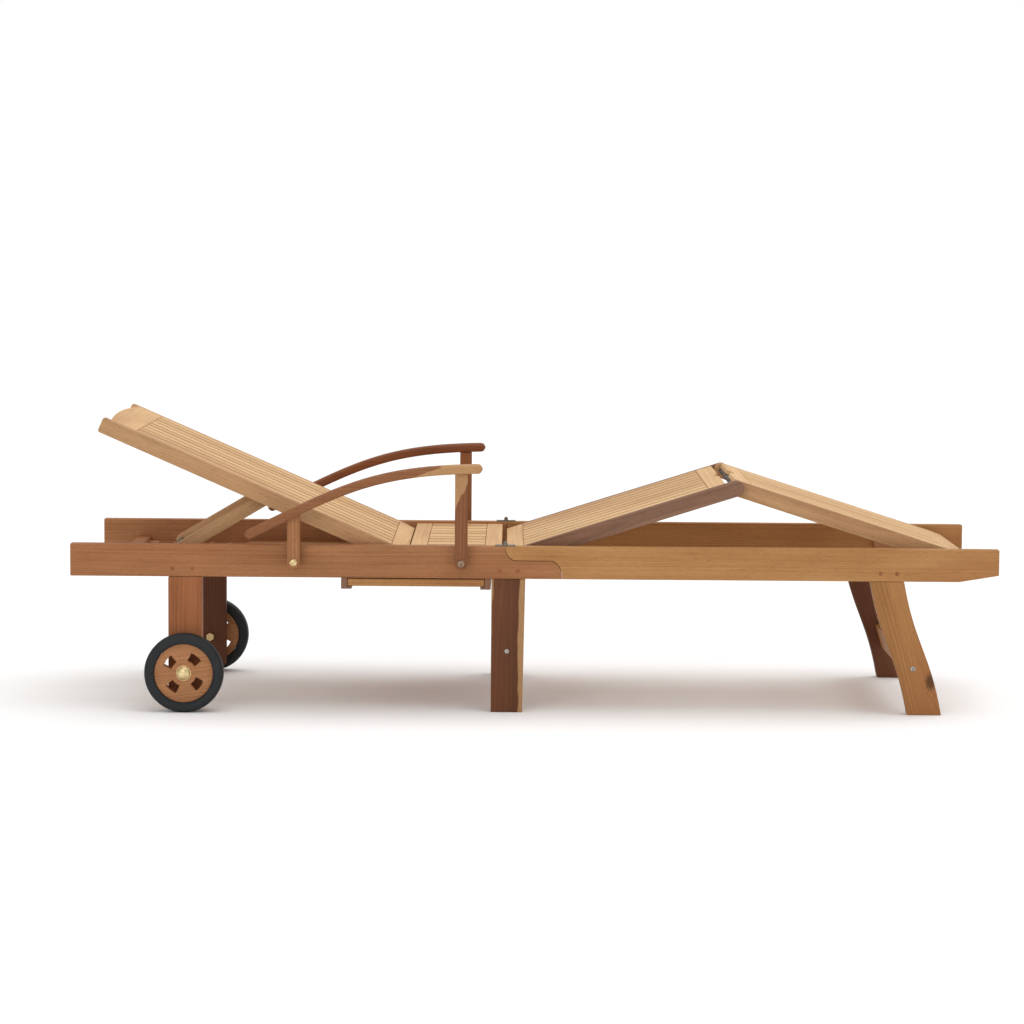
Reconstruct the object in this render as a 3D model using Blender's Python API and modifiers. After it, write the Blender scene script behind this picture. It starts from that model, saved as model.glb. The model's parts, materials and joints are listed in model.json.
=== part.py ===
"""Reclining sun lounger: a folding wooden frame on two wheels, with a propped backrest,
a raising knee section, two armrests and a tray that slides out under the seat.

Lengths are in metres and +Z is up. The head end is at -X and the foot end at +X, and the
right side of someone lying on it is at -Y. In the sizes, x is measured from the head end.
"""
import math

import bmesh
import bpy
from mathutils import Matrix

# Fits
FIT = 0.0003             # gap between two pieces that touch
ROD_FIT = 0.0003         # round a rod in its hole
SWING = 0.0035           # past the circle that a panel's end swings through

# Frame
WIDTH = 0.600            # over the outside of the rails
RAIL_THICK = 0.028
RAIL_HEIGHT = 0.070
RAIL_TOP = 0.360         # above the ground
CROSS_THICK = 0.022      # seat and foot cross rails, along the lounger
HEAD_CROSS_THICK = 0.0295
STRETCHER_THICK = 0.020
STRETCHER_HEIGHT = 0.056

# Panels: two side rails with a slatted deck between them, flush with their tops
PANEL_DROP = 0.005       # panel top below the rail top when flat
SIDE_THICK = 0.020
SIDE_HEIGHT = 0.034
SIDE_CLEAR = 0.002       # between a panel and what it swings inside
CALF_CLEAR = 0.0015      # between the calf's side rails and the thigh's
DECK_THICK = 0.0105
SLATS = 9
SLAT_GAP = 0.0096
ROD = 0.006              # radius of the pivot rods and the rods that rest in notches
DECK_CLEAR = 0.0005      # pivot rod to the deck above it

# Backrest and its prop
HEAD_CLEAR = 0.005       # head end of the frame to the side rails' ends
BACK_REACH = 0.695       # pivot to the side rails' head ends
BACK_TAIL = 0.0205       # deck past the pivot, towards the seat
HEAD_BOARD = 0.0705
HEAD_INSET = 0.0045      # middle of the head board behind the side rails' ends
HEAD_ARCH = 0.012        # sides of the head board behind its middle
BACK_BOARD = 0.038
BACK_REST = math.radians(23.5)
PROP_AT = 0.307          # backrest pivot to prop pivot
PROP_DROP = 0.008        # prop pivot below the side rails' middle
PROP_LENGTH = 0.262
PROP_WIDTH = 0.028
PROP_THICK = 0.020
PROP_IN = 0.030          # inside the backrest's side rails
PROP_FLAT = math.radians(1.3)
PROP_RATE = 1.25         # slope of the prop for each degree of the backrest
BACK_MAX = math.radians(45)

# Seat
SEAT_LENGTH = 0.1987
SEAT_BOARD = 0.036
HINGE_GAP = 0.008        # seat deck to the fold hinge
HINGE_RISE = 0.005       # hinge axis above the rail top
KNUCKLE = 0.0045         # radius
LEAF_THICK = 0.0016
LEAF_LENGTH = 0.022
LEAF_INSET = 0.002       # from each face of the rail

# Scarf joint of the two halves' rails
SCARF_START = 0.001      # top of the joint before the hinge axis
SCARF_HOLLOW = 0.0255    # lengths of the hollow, the flat and the round end
SCARF_FLAT = 0.073
SCARF_ROUND = 0.025
SCARF_CLEAR = 0.003      # flat below the thigh pivot rod
SCARF_STEPS = 6          # sides of each quarter curve

# Knee section
THIGH_SET = 0.0325       # hinge to thigh pivot
THIGH_TAIL = 0.0265      # deck past the pivot, towards the seat
LINK = 0.488             # thigh pivot to knee, and knee to foot rod
KNEE_FIT = 0.0033        # thigh deck to the round ends of the calf's side rails
KNEE_BOARD = 0.038
KNEE_INSET = 0.006       # calf deck before the knee
NOTCH_HALF = 0.050       # half width of the finger notches
THIGH_NOTCH = 0.009
CALF_NOTCH = 0.015
THIGH_REST = math.radians(17.6)
THIGH_MAX = math.radians(31)
CALF_TAIL = 0.040        # foot rod to the end of the calf deck
CALF_BOARD = 0.055
END_CLEAR = 0.015        # calf deck to the foot end of the frame
FOOT_TAPER = 0.086       # length and height of the slope under the foot end
FOOT_RISE = 0.014

# Ratchets
NOTCH = 0.010            # depth
NOTCH_FLAT = 0.4         # share of the pitch that a notch's floor takes
HEAD_START = 0.15        # where in the pitch a notch's floor starts
FOOT_START = 0.46
TIP_CLEAR = 0.001        # rod above the notch tips
HEAD_TEETH = 5
FOOT_TEETH = 4
RATCHET_THICK = 0.020
RATCHET_IN = 0.004       # head ratchets inside the backrest's side rails

# Legs
LEG_WIDTH = 0.073
HEAD_LEG_X = 0.211
HEAD_LEG_CLEAR = 0.014   # above the ground
LEG_CORNER = 0.012
CENTRE_LEG_BACK = 0.0295 # centre leg's head side before the hinge axis
CENTRE_TAPER = 0.005
FOOT_LEG_BACK = 0.277    # foot leg's head side before the foot end
FOOT_LEG_SHIFT = 0.085   # bottom of the foot leg past its top
FOOT_LEG_SWAY = 0.05     # strength of its S
CENTRE_STRETCHER_Z = 0.133
FOOT_STRETCHER_Z = 0.101

# Wheels
WHEEL_RADIUS = 0.085
TYRE_WIDTH = 0.036
TYRE_WALL = 0.0215
TYRE_CORNER = 0.009
WHEEL_CLEAR = 0.006      # leg to tyre
DISC_INSET = 0.006       # disc face inside the tyre's side
WINDOWS = 4
WINDOW_IN = 0.0275
WINDOW_OUT = 0.0465
WINDOW_SPREAD = (20.5, 17)  # degrees each way at its inner and outer arcs
WINDOW_TURN = 52         # degrees, middle of the first window
AXLE = 0.006
AXLE_FIT = 0.0005
DOME = 0.0165
DOME_HEIGHT = 0.009
NUT = 0.010
NUT_HEIGHT = 0.009

# Armrests
ARM_GAP = 0.007          # rail to arm
ARM_WIDTH = 0.044
ARM_THICK = 0.019
ARM_START = 0.325        # rear tip before the backrest pivot
ARM_LENGTH = 0.512
ARM_REAR = 0.030         # top above the rail top at the rear tip
ARM_FRONT = 0.179        # and at the front tip
ARM_PULL = (0.39, 0.66)  # guide points of its curve, as shares of its length and rise
ARM_EASE = (0.53, 0.98)
ARM_STEPS = 16
ARM_TIP = 0.018          # rounding of the ends in plan
POST_WIDTH = 0.0273
POST_THICK = 0.022
POST_GAP = 0.012         # rail to post
POST_BOLT_DROP = 0.0345  # bolt below the rail top
REAR_POST = 0.2172       # before the backrest pivot
FRONT_POST = 0.1420      # past it
SPACER = 0.0115          # radius
BOLT = 0.004
BOLT_HEAD = 0.0085
BOLT_HEAD_HEIGHT = 0.004
BOLT_BITE = 0.026        # length in the rail

# Tray
TRAY_THICK = 0.016
TRAY_SIDE = 0.002        # short of the frame's outside, each side
TRAY_TOP_GAP = 0.002     # rail to tray
TRAY_LENGTH = 0.2955
TRAY_BACK = 0.1032       # tray's head side before the backrest pivot
TRAY_FIT = 0.0005
GUIDE_WALL = 0.013
GUIDE_LEDGE = 0.0097
GUIDE_FLOOR = 0.0057

# Worked out from these
RAIL_BOTTOM = RAIL_TOP - RAIL_HEIGHT
OUTER = WIDTH / 2
INNER = OUTER - RAIL_THICK
SIDE_OUTER = INNER - SIDE_CLEAR
SIDE_INNER = SIDE_OUTER - SIDE_THICK
CALF_OUTER = SIDE_INNER - CALF_CLEAR
CALF_INNER = CALF_OUTER - SIDE_THICK
SIDE_HALF = SIDE_HEIGHT / 2
DECK_TOP = DECK_THICK + DECK_CLEAR + ROD  # above a panel's pivot line
PIVOT_Z = RAIL_TOP - PANEL_DROP - DECK_TOP
SIDE_MIDDLE = DECK_TOP - SIDE_HALF  # of a side rail, above the pivot line
BACK_X = HEAD_CLEAR + BACK_REACH
SEAT_X = BACK_X + math.hypot(BACK_TAIL, DECK_TOP) + SWING
SEAT_END = SEAT_X + SEAT_LENGTH
HINGE_X = SEAT_END + HINGE_GAP
HINGE_Z = RAIL_TOP + HINGE_RISE
THIGH_X = HINGE_X + THIGH_SET
LENGTH = THIGH_X + 2 * LINK + CALF_TAIL + END_CLEAR
CROSS_TOP = PIVOT_Z + SIDE_MIDDLE - SIDE_HALF - TIP_CLEAR
HOLE = ROD + ROD_FIT
SIDES = (("right", -1), ("left", 1))
ROUND = 24               # sides of a rod or a hole

scene = bpy.context.scene
for thing in list(bpy.data.objects):
    bpy.data.objects.remove(thing)
parts = bpy.data.collections.new("sun_lounger")
cutters = bpy.data.collections.new("cutters")
scene.collection.children.link(parts)
scene.collection.children.link(cutters)


def finish(name, colour, roughness, metallic=0.0):
    """One material for one kind of piece."""
    material = bpy.data.materials.new(name)
    material.use_nodes = True
    shader = material.node_tree.nodes["Principled BSDF"]
    shader.inputs["Base Color"].default_value = (*colour, 1.0)
    shader.inputs["Roughness"].default_value = roughness
    shader.inputs["Metallic"].default_value = metallic
    return material


FRAME_TEAK = (0.36, 0.17, 0.08)
LEG_TEAK = (0.27, 0.12, 0.06)
DECK_TEAK = (0.62, 0.38, 0.20)
FOOT_TEAK = (0.40, 0.21, 0.09)
STEEL = (0.60, 0.60, 0.58)
BRASS = (0.60, 0.45, 0.22)
RUBBER = (0.025, 0.026, 0.027)


def place(piece, colour, roughness=0.55, metallic=0.0, parent=None):
    """Gives a piece its material and hangs it on its joint's empty, if it has one."""
    piece.data.materials.append(finish(piece.name, colour, roughness, metallic))
    piece.parent = parent
    return piece


def pivot(name, x, z, turn=0.0, parent=None):
    """An empty on a joint's axis. x and z are measured from the parent's axis."""
    empty = bpy.data.objects.new(name, None)
    empty.empty_display_size = 0.05
    empty.location = (x, 0, z)
    empty.rotation_euler.y = turn
    empty.parent = parent
    cutters.objects.link(empty)
    return empty


def from_head(x):
    """The frame's x of a length measured from the head end."""
    return x - LENGTH / 2


def across(side, inner, outer):
    """A piece's two y values, lowest first, on one side of the lounger."""
    return tuple(sorted((side * inner, side * outer)))


def arc(x, z, radius_x, radius_z, start, end, steps):
    """Points on an ellipse, from one angle in degrees to another."""
    turns = [math.radians(start + (end - start) * i / steps) for i in range(steps + 1)]
    return [(x + radius_x * math.cos(t), z + radius_z * math.sin(t)) for t in turns]


def circle(x, z, radius, steps=ROUND):
    """The outline of a round hole or rim."""
    return arc(x, z, radius, radius, 0, 360 - 360 / steps, steps - 1)


def block(name, xs, ys, zs):
    """A plain board between three pairs of values."""
    mesh = bpy.data.meshes.new(name)
    shape = bmesh.new()
    bmesh.ops.create_cube(shape, size=1)
    size = [high - low for low, high in (xs, ys, zs)]
    bmesh.ops.scale(shape, vec=size, verts=shape.verts)
    shape.to_mesh(mesh)
    shape.free()
    piece = bpy.data.objects.new(name, mesh)
    piece.location = [(low + high) / 2 for low, high in (xs, ys, zs)]
    parts.objects.link(piece)
    return piece


def outline(name, points, low, high, holes=(), flat=False):
    """An outline with a thickness: upright, between two y values, or flat, between two z."""
    curve = bpy.data.curves.new(name, "CURVE")
    curve.dimensions = "2D"
    curve.fill_mode = "BOTH"
    curve.extrude = (high - low) / 2
    for loop in (points, *holes):
        spline = curve.splines.new("POLY")
        spline.points.add(len(loop) - 1)
        for point, (u, v) in zip(spline.points, loop):
            point.co = (u, v, 0, 1)
        spline.use_cyclic_u = True
    piece = bpy.data.objects.new(name, curve)
    if flat:
        piece.location.z = (low + high) / 2
    else:
        piece.location.y = (low + high) / 2
        piece.rotation_euler.x = math.pi / 2
    parts.objects.link(piece)
    return piece


def as_mesh(piece):
    """Turns an outline into a closed mesh, so that it can be cut or joined."""
    bpy.context.view_layer.update()
    name = piece.name
    piece.name = name + "_outline"
    mesh = bpy.data.meshes.new_from_object(piece.evaluated_get(bpy.context.evaluated_depsgraph_get()))
    shape = bmesh.new()
    shape.from_mesh(mesh)
    bmesh.ops.remove_doubles(shape, verts=shape.verts, dist=0.00001)
    shape.to_mesh(mesh)
    shape.free()
    mesh.materials.clear()
    solid = bpy.data.objects.new(name, mesh)
    solid.matrix_world = piece.matrix_world
    for collection in piece.users_collection:
        collection.objects.link(solid)
    bpy.data.objects.remove(piece)
    return solid


def rod(name, x, z, ys, radius, sides=ROUND):
    """A round rod along Y."""
    mesh = bpy.data.meshes.new(name)
    shape = bmesh.new()
    bmesh.ops.create_cone(
        shape, cap_ends=True, segments=sides, radius1=radius, radius2=radius, depth=ys[1] - ys[0]
    )
    shape.to_mesh(mesh)
    shape.free()
    mesh.shade_smooth()
    mesh.set_sharp_from_angle(angle=math.radians(40))
    piece = bpy.data.objects.new(name, mesh)
    piece.location = (x, (ys[0] + ys[1]) / 2, z)
    piece.rotation_euler.x = math.pi / 2
    parts.objects.link(piece)
    return piece


def turned(name, profile, x, y, z, side, steps):
    """A profile of (radius, height) turned round an axis along Y, its top outwards."""
    mesh = bpy.data.meshes.new(name)
    closed = profile[0][0] > 0
    edges = [(i, i + 1) for i in range(len(profile) - 1)]
    if closed:
        edges.append((len(profile) - 1, 0))
    mesh.from_pydata([(r, 0, h) for r, h in profile], edges, [])
    piece = bpy.data.objects.new(name, mesh)
    screw = piece.modifiers.new("turn", "SCREW")
    screw.steps = steps
    screw.render_steps = steps
    screw.use_merge_vertices = True
    screw.merge_threshold = 0.00001
    piece.location = (x, y, z)
    piece.rotation_euler.x = -side * math.pi / 2
    parts.objects.link(piece)
    return piece


def combine(piece, tool, operation="DIFFERENCE"):
    """Cuts a tool from a piece, or joins it on. The tool hangs where the piece does."""
    tool.hide_render = True
    tool.display_type = "WIRE"
    tool.parent = piece.parent
    parts.objects.unlink(tool)
    cutters.objects.link(tool)
    boolean = piece.modifiers.new(operation.lower(), "BOOLEAN")
    boolean.operation = operation
    boolean.object = tool


def drill(piece, x, z, ys, radius):
    """A round hole along Y."""
    combine(piece, rod(f"{piece.name}_hole", x, z, ys, radius))


def scarf(gap):
    """The scarf joint's face, top to bottom: a hollow quarter, a flat and a round quarter.
    gap moves it towards the foot half."""
    x = HINGE_X - SCARF_START + SCARF_HOLLOW
    level = PIVOT_Z - ROD - SCARF_CLEAR
    hollow = arc(x, RAIL_TOP, SCARF_HOLLOW - gap, RAIL_TOP - level - gap, 180, 270, SCARF_STEPS)
    rise = level - RAIL_BOTTOM
    end = arc(x + SCARF_FLAT, RAIL_BOTTOM, SCARF_ROUND + gap, rise + gap, 90, 0, SCARF_STEPS)
    return [(from_head(u), v) for u, v in hollow + end]


def rounded_bar(start, end, half, square_start=False, steps=8):
    """A level bar's outline about its own middle line, with round ends. square_start cuts
    its first end square."""
    far = arc(end - half, 0, half, half, -90, 90, steps)
    near = arc(start + half, 0, half, half, 90, 270, steps)
    return far + ([(start, half), (start, -half)] if square_start else near)


def deck(name, xs, half, boards, parent, arch=0.0, notches=(0.0, 0.0)):
    """Two cross boards with the slats between them, as one slotted plate. arch bows its
    first end, and notches are the depths of the finger notches in its two ends."""
    steps = 8

    def end(x, notch, inward):
        curve = []
        for i in range(steps + 1):
            y = -half + 2 * half * i / steps
            curve.append((x + inward * arch * (y / half) ** 2, y))
        if notch:
            curve = [(x, -half)]
            for i in range(steps + 1):
                y = -NOTCH_HALF + 2 * NOTCH_HALF * i / steps
                depth = notch * math.cos(math.pi / 2 * y / NOTCH_HALF)
                curve.append((x + inward * depth, y))
            curve.append((x, half))
        return curve

    first = end(xs[0], notches[0], 1)
    last = end(xs[1], notches[1], -1) if notches[1] else [(xs[1], -half), (xs[1], half)]
    slat = (2 * half - (SLATS - 1) * SLAT_GAP) / SLATS
    slots = []
    for i in range(1, SLATS):
        y = -half + i * slat + (i - 1) * SLAT_GAP
        a, b = xs[0] + boards[0], xs[1] - boards[1]
        slots.append([(a, y), (b, y), (b, y + SLAT_GAP), (a, y + SLAT_GAP)])
    top = DECK_TOP if parent else PIVOT_Z + DECK_TOP
    plate = outline(name, last + first[::-1], top - DECK_THICK, top, slots, flat=True)
    place(plate, DECK_TEAK, 0.5, parent=parent)


def side_rails(name, xs, ys, rods, parent, square_start=False):
    """The two side rails of a panel, with a hole for each of its rods."""
    holes = [circle(x, z, HOLE) for x, z in rods]
    for label, side in SIDES:
        shape = [(x, z + SIDE_MIDDLE) for x, z in rounded_bar(*xs, SIDE_HALF, square_start)]
        rail = outline(f"{name}_{label}", shape, *across(side, *ys), holes)
        place(rail, DECK_TEAK, 0.5, parent=parent)


def prop_angle(back):
    """The prop's slope below level when the backrest is raised by back."""
    return PROP_FLAT + PROP_RATE * back


def rod_path(back):
    """Where the prop's rod is, as (x from the head end, z)."""
    reach, drop = PROP_AT, PROP_DROP
    slope = prop_angle(back)
    x = BACK_X - reach * math.cos(back) - drop * math.sin(back) - PROP_LENGTH * math.cos(slope)
    z = PIVOT_Z + reach * math.sin(back) - drop * math.cos(back) - PROP_LENGTH * math.sin(slope)
    return x, z


def teeth(start, end, tip, count, floor_start):
    """A saw line from start to end: each notch drops straight on its head side and slopes
    back up to the next tip. tip gives the tips' height along x."""
    pitch = (end - start) / count
    points = []
    for i in range(count):
        x = start + i * pitch
        points.append((x, tip(x)))
        points.append((x + floor_start * pitch, tip(x) - NOTCH))
        points.append((x + (floor_start + NOTCH_FLAT) * pitch, tip(x) - NOTCH))
    points.append((end, tip(end)))
    return points


def head_rails():
    """The head half's rails, each with the tongue of the scarf joint."""
    outlines = [(from_head(0), RAIL_TOP), (from_head(0), RAIL_BOTTOM), *scarf(0)[::-1]]
    for label, side in SIDES:
        rail = as_mesh(outline(f"head_rail_{label}", outlines, *across(side, INNER, OUTER)))
        place(rail, FRAME_TEAK)
        socket = across(side, INNER - SIDE_CLEAR, OUTER - RAIL_THICK / 2 + FIT)
        drill(rail, from_head(BACK_X), PIVOT_Z, socket, HOLE)
        for x in (BACK_X - REAR_POST, BACK_X + FRONT_POST):
            bite = across(side, OUTER - BOLT_BITE - FIT, OUTER + SIDE_CLEAR)
            drill(rail, from_head(x), RAIL_TOP - POST_BOLT_DROP, bite, BOLT + ROD_FIT)


def head_legs():
    """Short legs that carry the axle bolts, with rounded feet clear of the ground."""
    low, high = from_head(HEAD_LEG_X), from_head(HEAD_LEG_X + LEG_WIDTH)
    top, foot = RAIL_BOTTOM - FIT, HEAD_LEG_CLEAR + LEG_CORNER
    corner = (LEG_CORNER, LEG_CORNER)
    shape = [(low, top)]
    shape += arc(low + LEG_CORNER, foot, *corner, 180, 270, 4)
    shape += arc(high - LEG_CORNER, foot, *corner, 270, 360, 4)
    shape.append((high, top))
    hole = circle(AXLE_X, WHEEL_RADIUS, AXLE + ROD_FIT)
    for label, side in SIDES:
        leg = outline(f"head_leg_{label}", shape, *across(side, INNER, OUTER), [hole])
        place(leg, LEG_TEAK)


def centre_legs():
    """Straight legs under the scarf joint, and the stretcher between them."""
    low, high = from_head(HINGE_X - CENTRE_LEG_BACK), from_head(HINGE_X - CENTRE_LEG_BACK + LEG_WIDTH)
    top = RAIL_BOTTOM - FIT
    shape = [(low, 0), (high - CENTRE_TAPER, 0), (high, top), (low, top)]
    for label, side in SIDES:
        leg = outline(f"centre_leg_{label}", shape, *across(side, INNER, OUTER))
        place(leg, LEG_TEAK)
    middle = (low + high - CENTRE_TAPER) / 2
    stretcher = block(
        "centre_stretcher",
        (middle - STRETCHER_THICK / 2, middle + STRETCHER_THICK / 2),
        (FIT - INNER, INNER - FIT),
        (CENTRE_STRETCHER_Z - STRETCHER_HEIGHT / 2, CENTRE_STRETCHER_Z + STRETCHER_HEIGHT / 2),
    )
    place(stretcher, LEG_TEAK)


def cross_rails():
    """Cross rails at the head end and under the seat, with the notched bars between them."""
    width = (FIT - INNER, INNER - FIT)
    head_end = rod_path(0)[0] - PROP_WIDTH / 2 - SWING
    head = (from_head(head_end - SWING - HEAD_CROSS_THICK), from_head(head_end - SWING))
    place(block("head_cross_rail", head, width, (RAIL_BOTTOM, CROSS_TOP)), FRAME_TEAK)
    seat = (from_head(SEAT_X + SWING), from_head(SEAT_X + SWING + CROSS_THICK))
    top = PIVOT_Z + DECK_TOP - DECK_THICK - FIT
    place(block("seat_cross_rail", seat, width, (RAIL_BOTTOM, top)), FRAME_TEAK)

    path = [rod_path(BACK_MAX * i / 60) for i in range(61)]

    def tip(x):
        """Notch tips just under the rod's path, by the nearest point of the path."""
        near = min(path, key=lambda point: abs(from_head(point[0]) - x))
        return near[1] - ROD - TIP_CLEAR

    lowest = min(z for _, z in path) - ROD - TIP_CLEAR
    start, end = from_head(path[0][0]), from_head(path[-1][0] + ROD)
    saw = teeth(start, end, lambda x: min(tip(x), lowest), HEAD_TEETH, HEAD_START)
    bar_start, bar_end = head[1] + FIT, seat[0] - FIT
    shape = [(bar_start, RAIL_BOTTOM), (bar_end, RAIL_BOTTOM), (bar_end, lowest)]
    shape += saw[::-1]
    shape.append((bar_start, lowest))
    outer = SIDE_INNER - RATCHET_IN
    for label, side in SIDES:
        bar = outline(f"prop_ratchet_{label}", shape, *across(side, outer - RATCHET_THICK, outer))
        place(bar, FRAME_TEAK)


def fold_hinges():
    """Butt hinges on the rail tops: the head leaf holds the two outer knuckles and the foot
    leaf the middle one."""
    wide = RAIL_THICK - 2 * LEAF_INSET
    third = wide / 3
    for label, side in SIDES:
        start = side * (OUTER - LEAF_INSET)
        for half, sign in (("head", -1), ("foot", 1)):
            outer = [(0, third), (2 * third, wide)] if half == "head" else [(third, 2 * third)]
            spans = [(low + FIT / 2, high - FIT / 2) for low, high in outer]
            origin = 0 if half == "foot" else from_head(HINGE_X)
            floor = (0 if half == "foot" else HINGE_Z) - HINGE_RISE + FIT
            near = origin + sign * (KNUCKLE + 2 * FIT)
            far = origin + sign * LEAF_LENGTH
            shape = [(far, start), (near, start)]
            for low, high in spans:
                shape += [(near, start - side * low), (origin, start - side * low)]
                shape += [(origin, start - side * high), (near, start - side * high)]
            shape += [(near, start - side * wide), (far, start - side * wide)]
            shape = [p for i, p in enumerate(shape) if i == 0 or math.dist(p, shape[i - 1]) > FIT]
            leaf = outline(f"{half}_hinge_leaf_{label}", shape, floor, floor + LEAF_THICK, flat=True)
            leaf = as_mesh(leaf)
            parent = fold_axis if half == "foot" else None
            place(leaf, STEEL, 0.35, 1.0, parent)
            for low, high in spans:
                ys = tuple(sorted((start - side * low, start - side * high)))
                axis_z = floor + HINGE_RISE - FIT
                knuckle = rod(f"{leaf.name}_knuckle", origin, axis_z, ys, KNUCKLE, 12)
                combine(leaf, knuckle, "UNION")


def arm_lines():
    """The arm's top line, a smooth curve that rises from the rear tip and levels out at the
    front, and its underside, ARM_THICK below along the line's own upright."""
    rear = (from_head(BACK_X - ARM_START), RAIL_TOP + ARM_REAR)
    front = (rear[0] + ARM_LENGTH, RAIL_TOP + ARM_FRONT)
    rise = ARM_FRONT - ARM_REAR
    pull, ease = ((rear[0] + u * ARM_LENGTH, rear[1] + v * rise) for u, v in (ARM_PULL, ARM_EASE))
    top, under = [], []
    for i in range(ARM_STEPS + 1):
        t = i / ARM_STEPS
        s = 1 - t
        weights = (s ** 3, 3 * s * s * t, 3 * s * t * t, t ** 3)
        slopes = (-3 * s * s, 3 * s * s - 6 * s * t, 6 * s * t - 3 * t * t, 3 * t * t)
        guides = (rear, pull, ease, front)
        x, z = (sum(w * g[k] for w, g in zip(weights, guides)) for k in (0, 1))
        dx, dz = (sum(w * g[k] for w, g in zip(slopes, guides)) for k in (0, 1))
        long = math.hypot(dx, dz)
        top.append((x, z))
        under.append((x + ARM_THICK * dz / long, z - ARM_THICK * dx / long))
    return top, under


def under_arm(under, x):
    """Height of the arm's underside at x."""
    for (x0, z0), (x1, z1) in zip(under, under[1:]):
        if x0 <= x <= x1:
            return z0 + (z1 - z0) * (x - x0) / (x1 - x0)
    return under[-1][1]


def armrests():
    """Two arched arms, each on two posts that are bolted to the rail over a spacer."""
    top, under = arm_lines()
    shape = top + under[::-1]
    low = OUTER + ARM_GAP
    for label, side in SIDES:
        ys = across(side, low, low + ARM_WIDTH)
        arm = as_mesh(outline(f"armrest_{label}", shape, *ys))
        place(arm, FRAME_TEAK)
        middle = sum(ys) / 2
        ends = (min(p[0] for p in shape), max(p[0] for p in shape))
        half = ARM_WIDTH / 2
        plan = []
        for x, turn, sign in ((ends[0] + ARM_TIP, 180, 1), (ends[1] - ARM_TIP, 0, -1)):
            edge = sign * (half - ARM_TIP)
            plan += arc(x, middle + edge, ARM_TIP, ARM_TIP, turn - 90, turn, 4)
            plan += arc(x, middle - edge, ARM_TIP, ARM_TIP, turn, turn + 90, 4)
        lift = (RAIL_TOP, RAIL_TOP + ARM_FRONT + ARM_THICK)
        combine(arm, as_mesh(outline(f"{arm.name}_plan", plan, *lift, flat=True)), "INTERSECT")
        for post_name, from_pivot in (("rear", -REAR_POST), ("front", FRONT_POST)):
            arm_post(post_name, label, side, from_head(BACK_X + from_pivot), under)


def arm_post(name, label, side, x, under):
    """A post with a round foot, and the bolt through it into the rail."""
    half = POST_WIDTH / 2
    bolt_z = RAIL_TOP - POST_BOLT_DROP
    inner = OUTER + POST_GAP
    ys = across(side, inner, inner + POST_THICK)
    shape = [(end, under_arm(under, end) - 2 * FIT) for end in (x + half, x - half)]
    shape += arc(x, bolt_z, half, half, 180, 360, 10)
    post = as_mesh(outline(f"{name}_arm_post_{label}", shape, *ys))
    place(post, FRAME_TEAK)
    reach = across(side, OUTER + FIT, inner + POST_THICK / 2)
    combine(post, rod(f"{post.name}_spacer", x, bolt_z, reach, SPACER, 16), "UNION")
    drill(post, x, bolt_z, across(side, OUTER - FIT, inner + POST_THICK + FIT), BOLT + ROD_FIT)
    face = inner + POST_THICK + FIT
    length = face - OUTER + BOLT_BITE
    bend = arc(0, 0, BOLT_HEAD, BOLT_HEAD_HEIGHT, 90, 0, 4)
    profile = [(0, BOLT_HEAD_HEIGHT), *bend[1:], (BOLT, 0), (BOLT, -length), (0, -length)]
    bolt = turned(f"{name}_arm_bolt_{label}", profile, x, side * face, bolt_z, side, 16)
    place(bolt, STEEL if name == "front" else BRASS, 0.3, 1.0)


def tray_and_guides():
    """A tray board on two L-shaped guides under the rails."""
    start, end = from_head(BACK_X - TRAY_BACK), from_head(BACK_X - TRAY_BACK + TRAY_LENGTH)
    top = RAIL_BOTTOM - TRAY_TOP_GAP
    floor = top - TRAY_THICK
    tray = block("tray", (start, end), (TRAY_SIDE - OUTER, OUTER - TRAY_SIDE), (floor, top))
    place(tray, FRAME_TEAK, parent=slide_axis)
    for name, edge, sign in (("rear", start, -1), ("front", end, 1)):
        wall = edge + sign * TRAY_FIT
        out = wall + sign * GUIDE_WALL
        ledge = wall - sign * GUIDE_LEDGE
        bottom = floor - FIT - GUIDE_FLOOR
        shape = [(out, bottom), (ledge, bottom), (ledge, floor - FIT), (wall, floor - FIT)]
        shape += [(wall, RAIL_BOTTOM - FIT), (out, RAIL_BOTTOM - FIT)]
        place(outline(f"{name}_tray_guide", shape, -OUTER, OUTER), LEG_TEAK)


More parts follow.
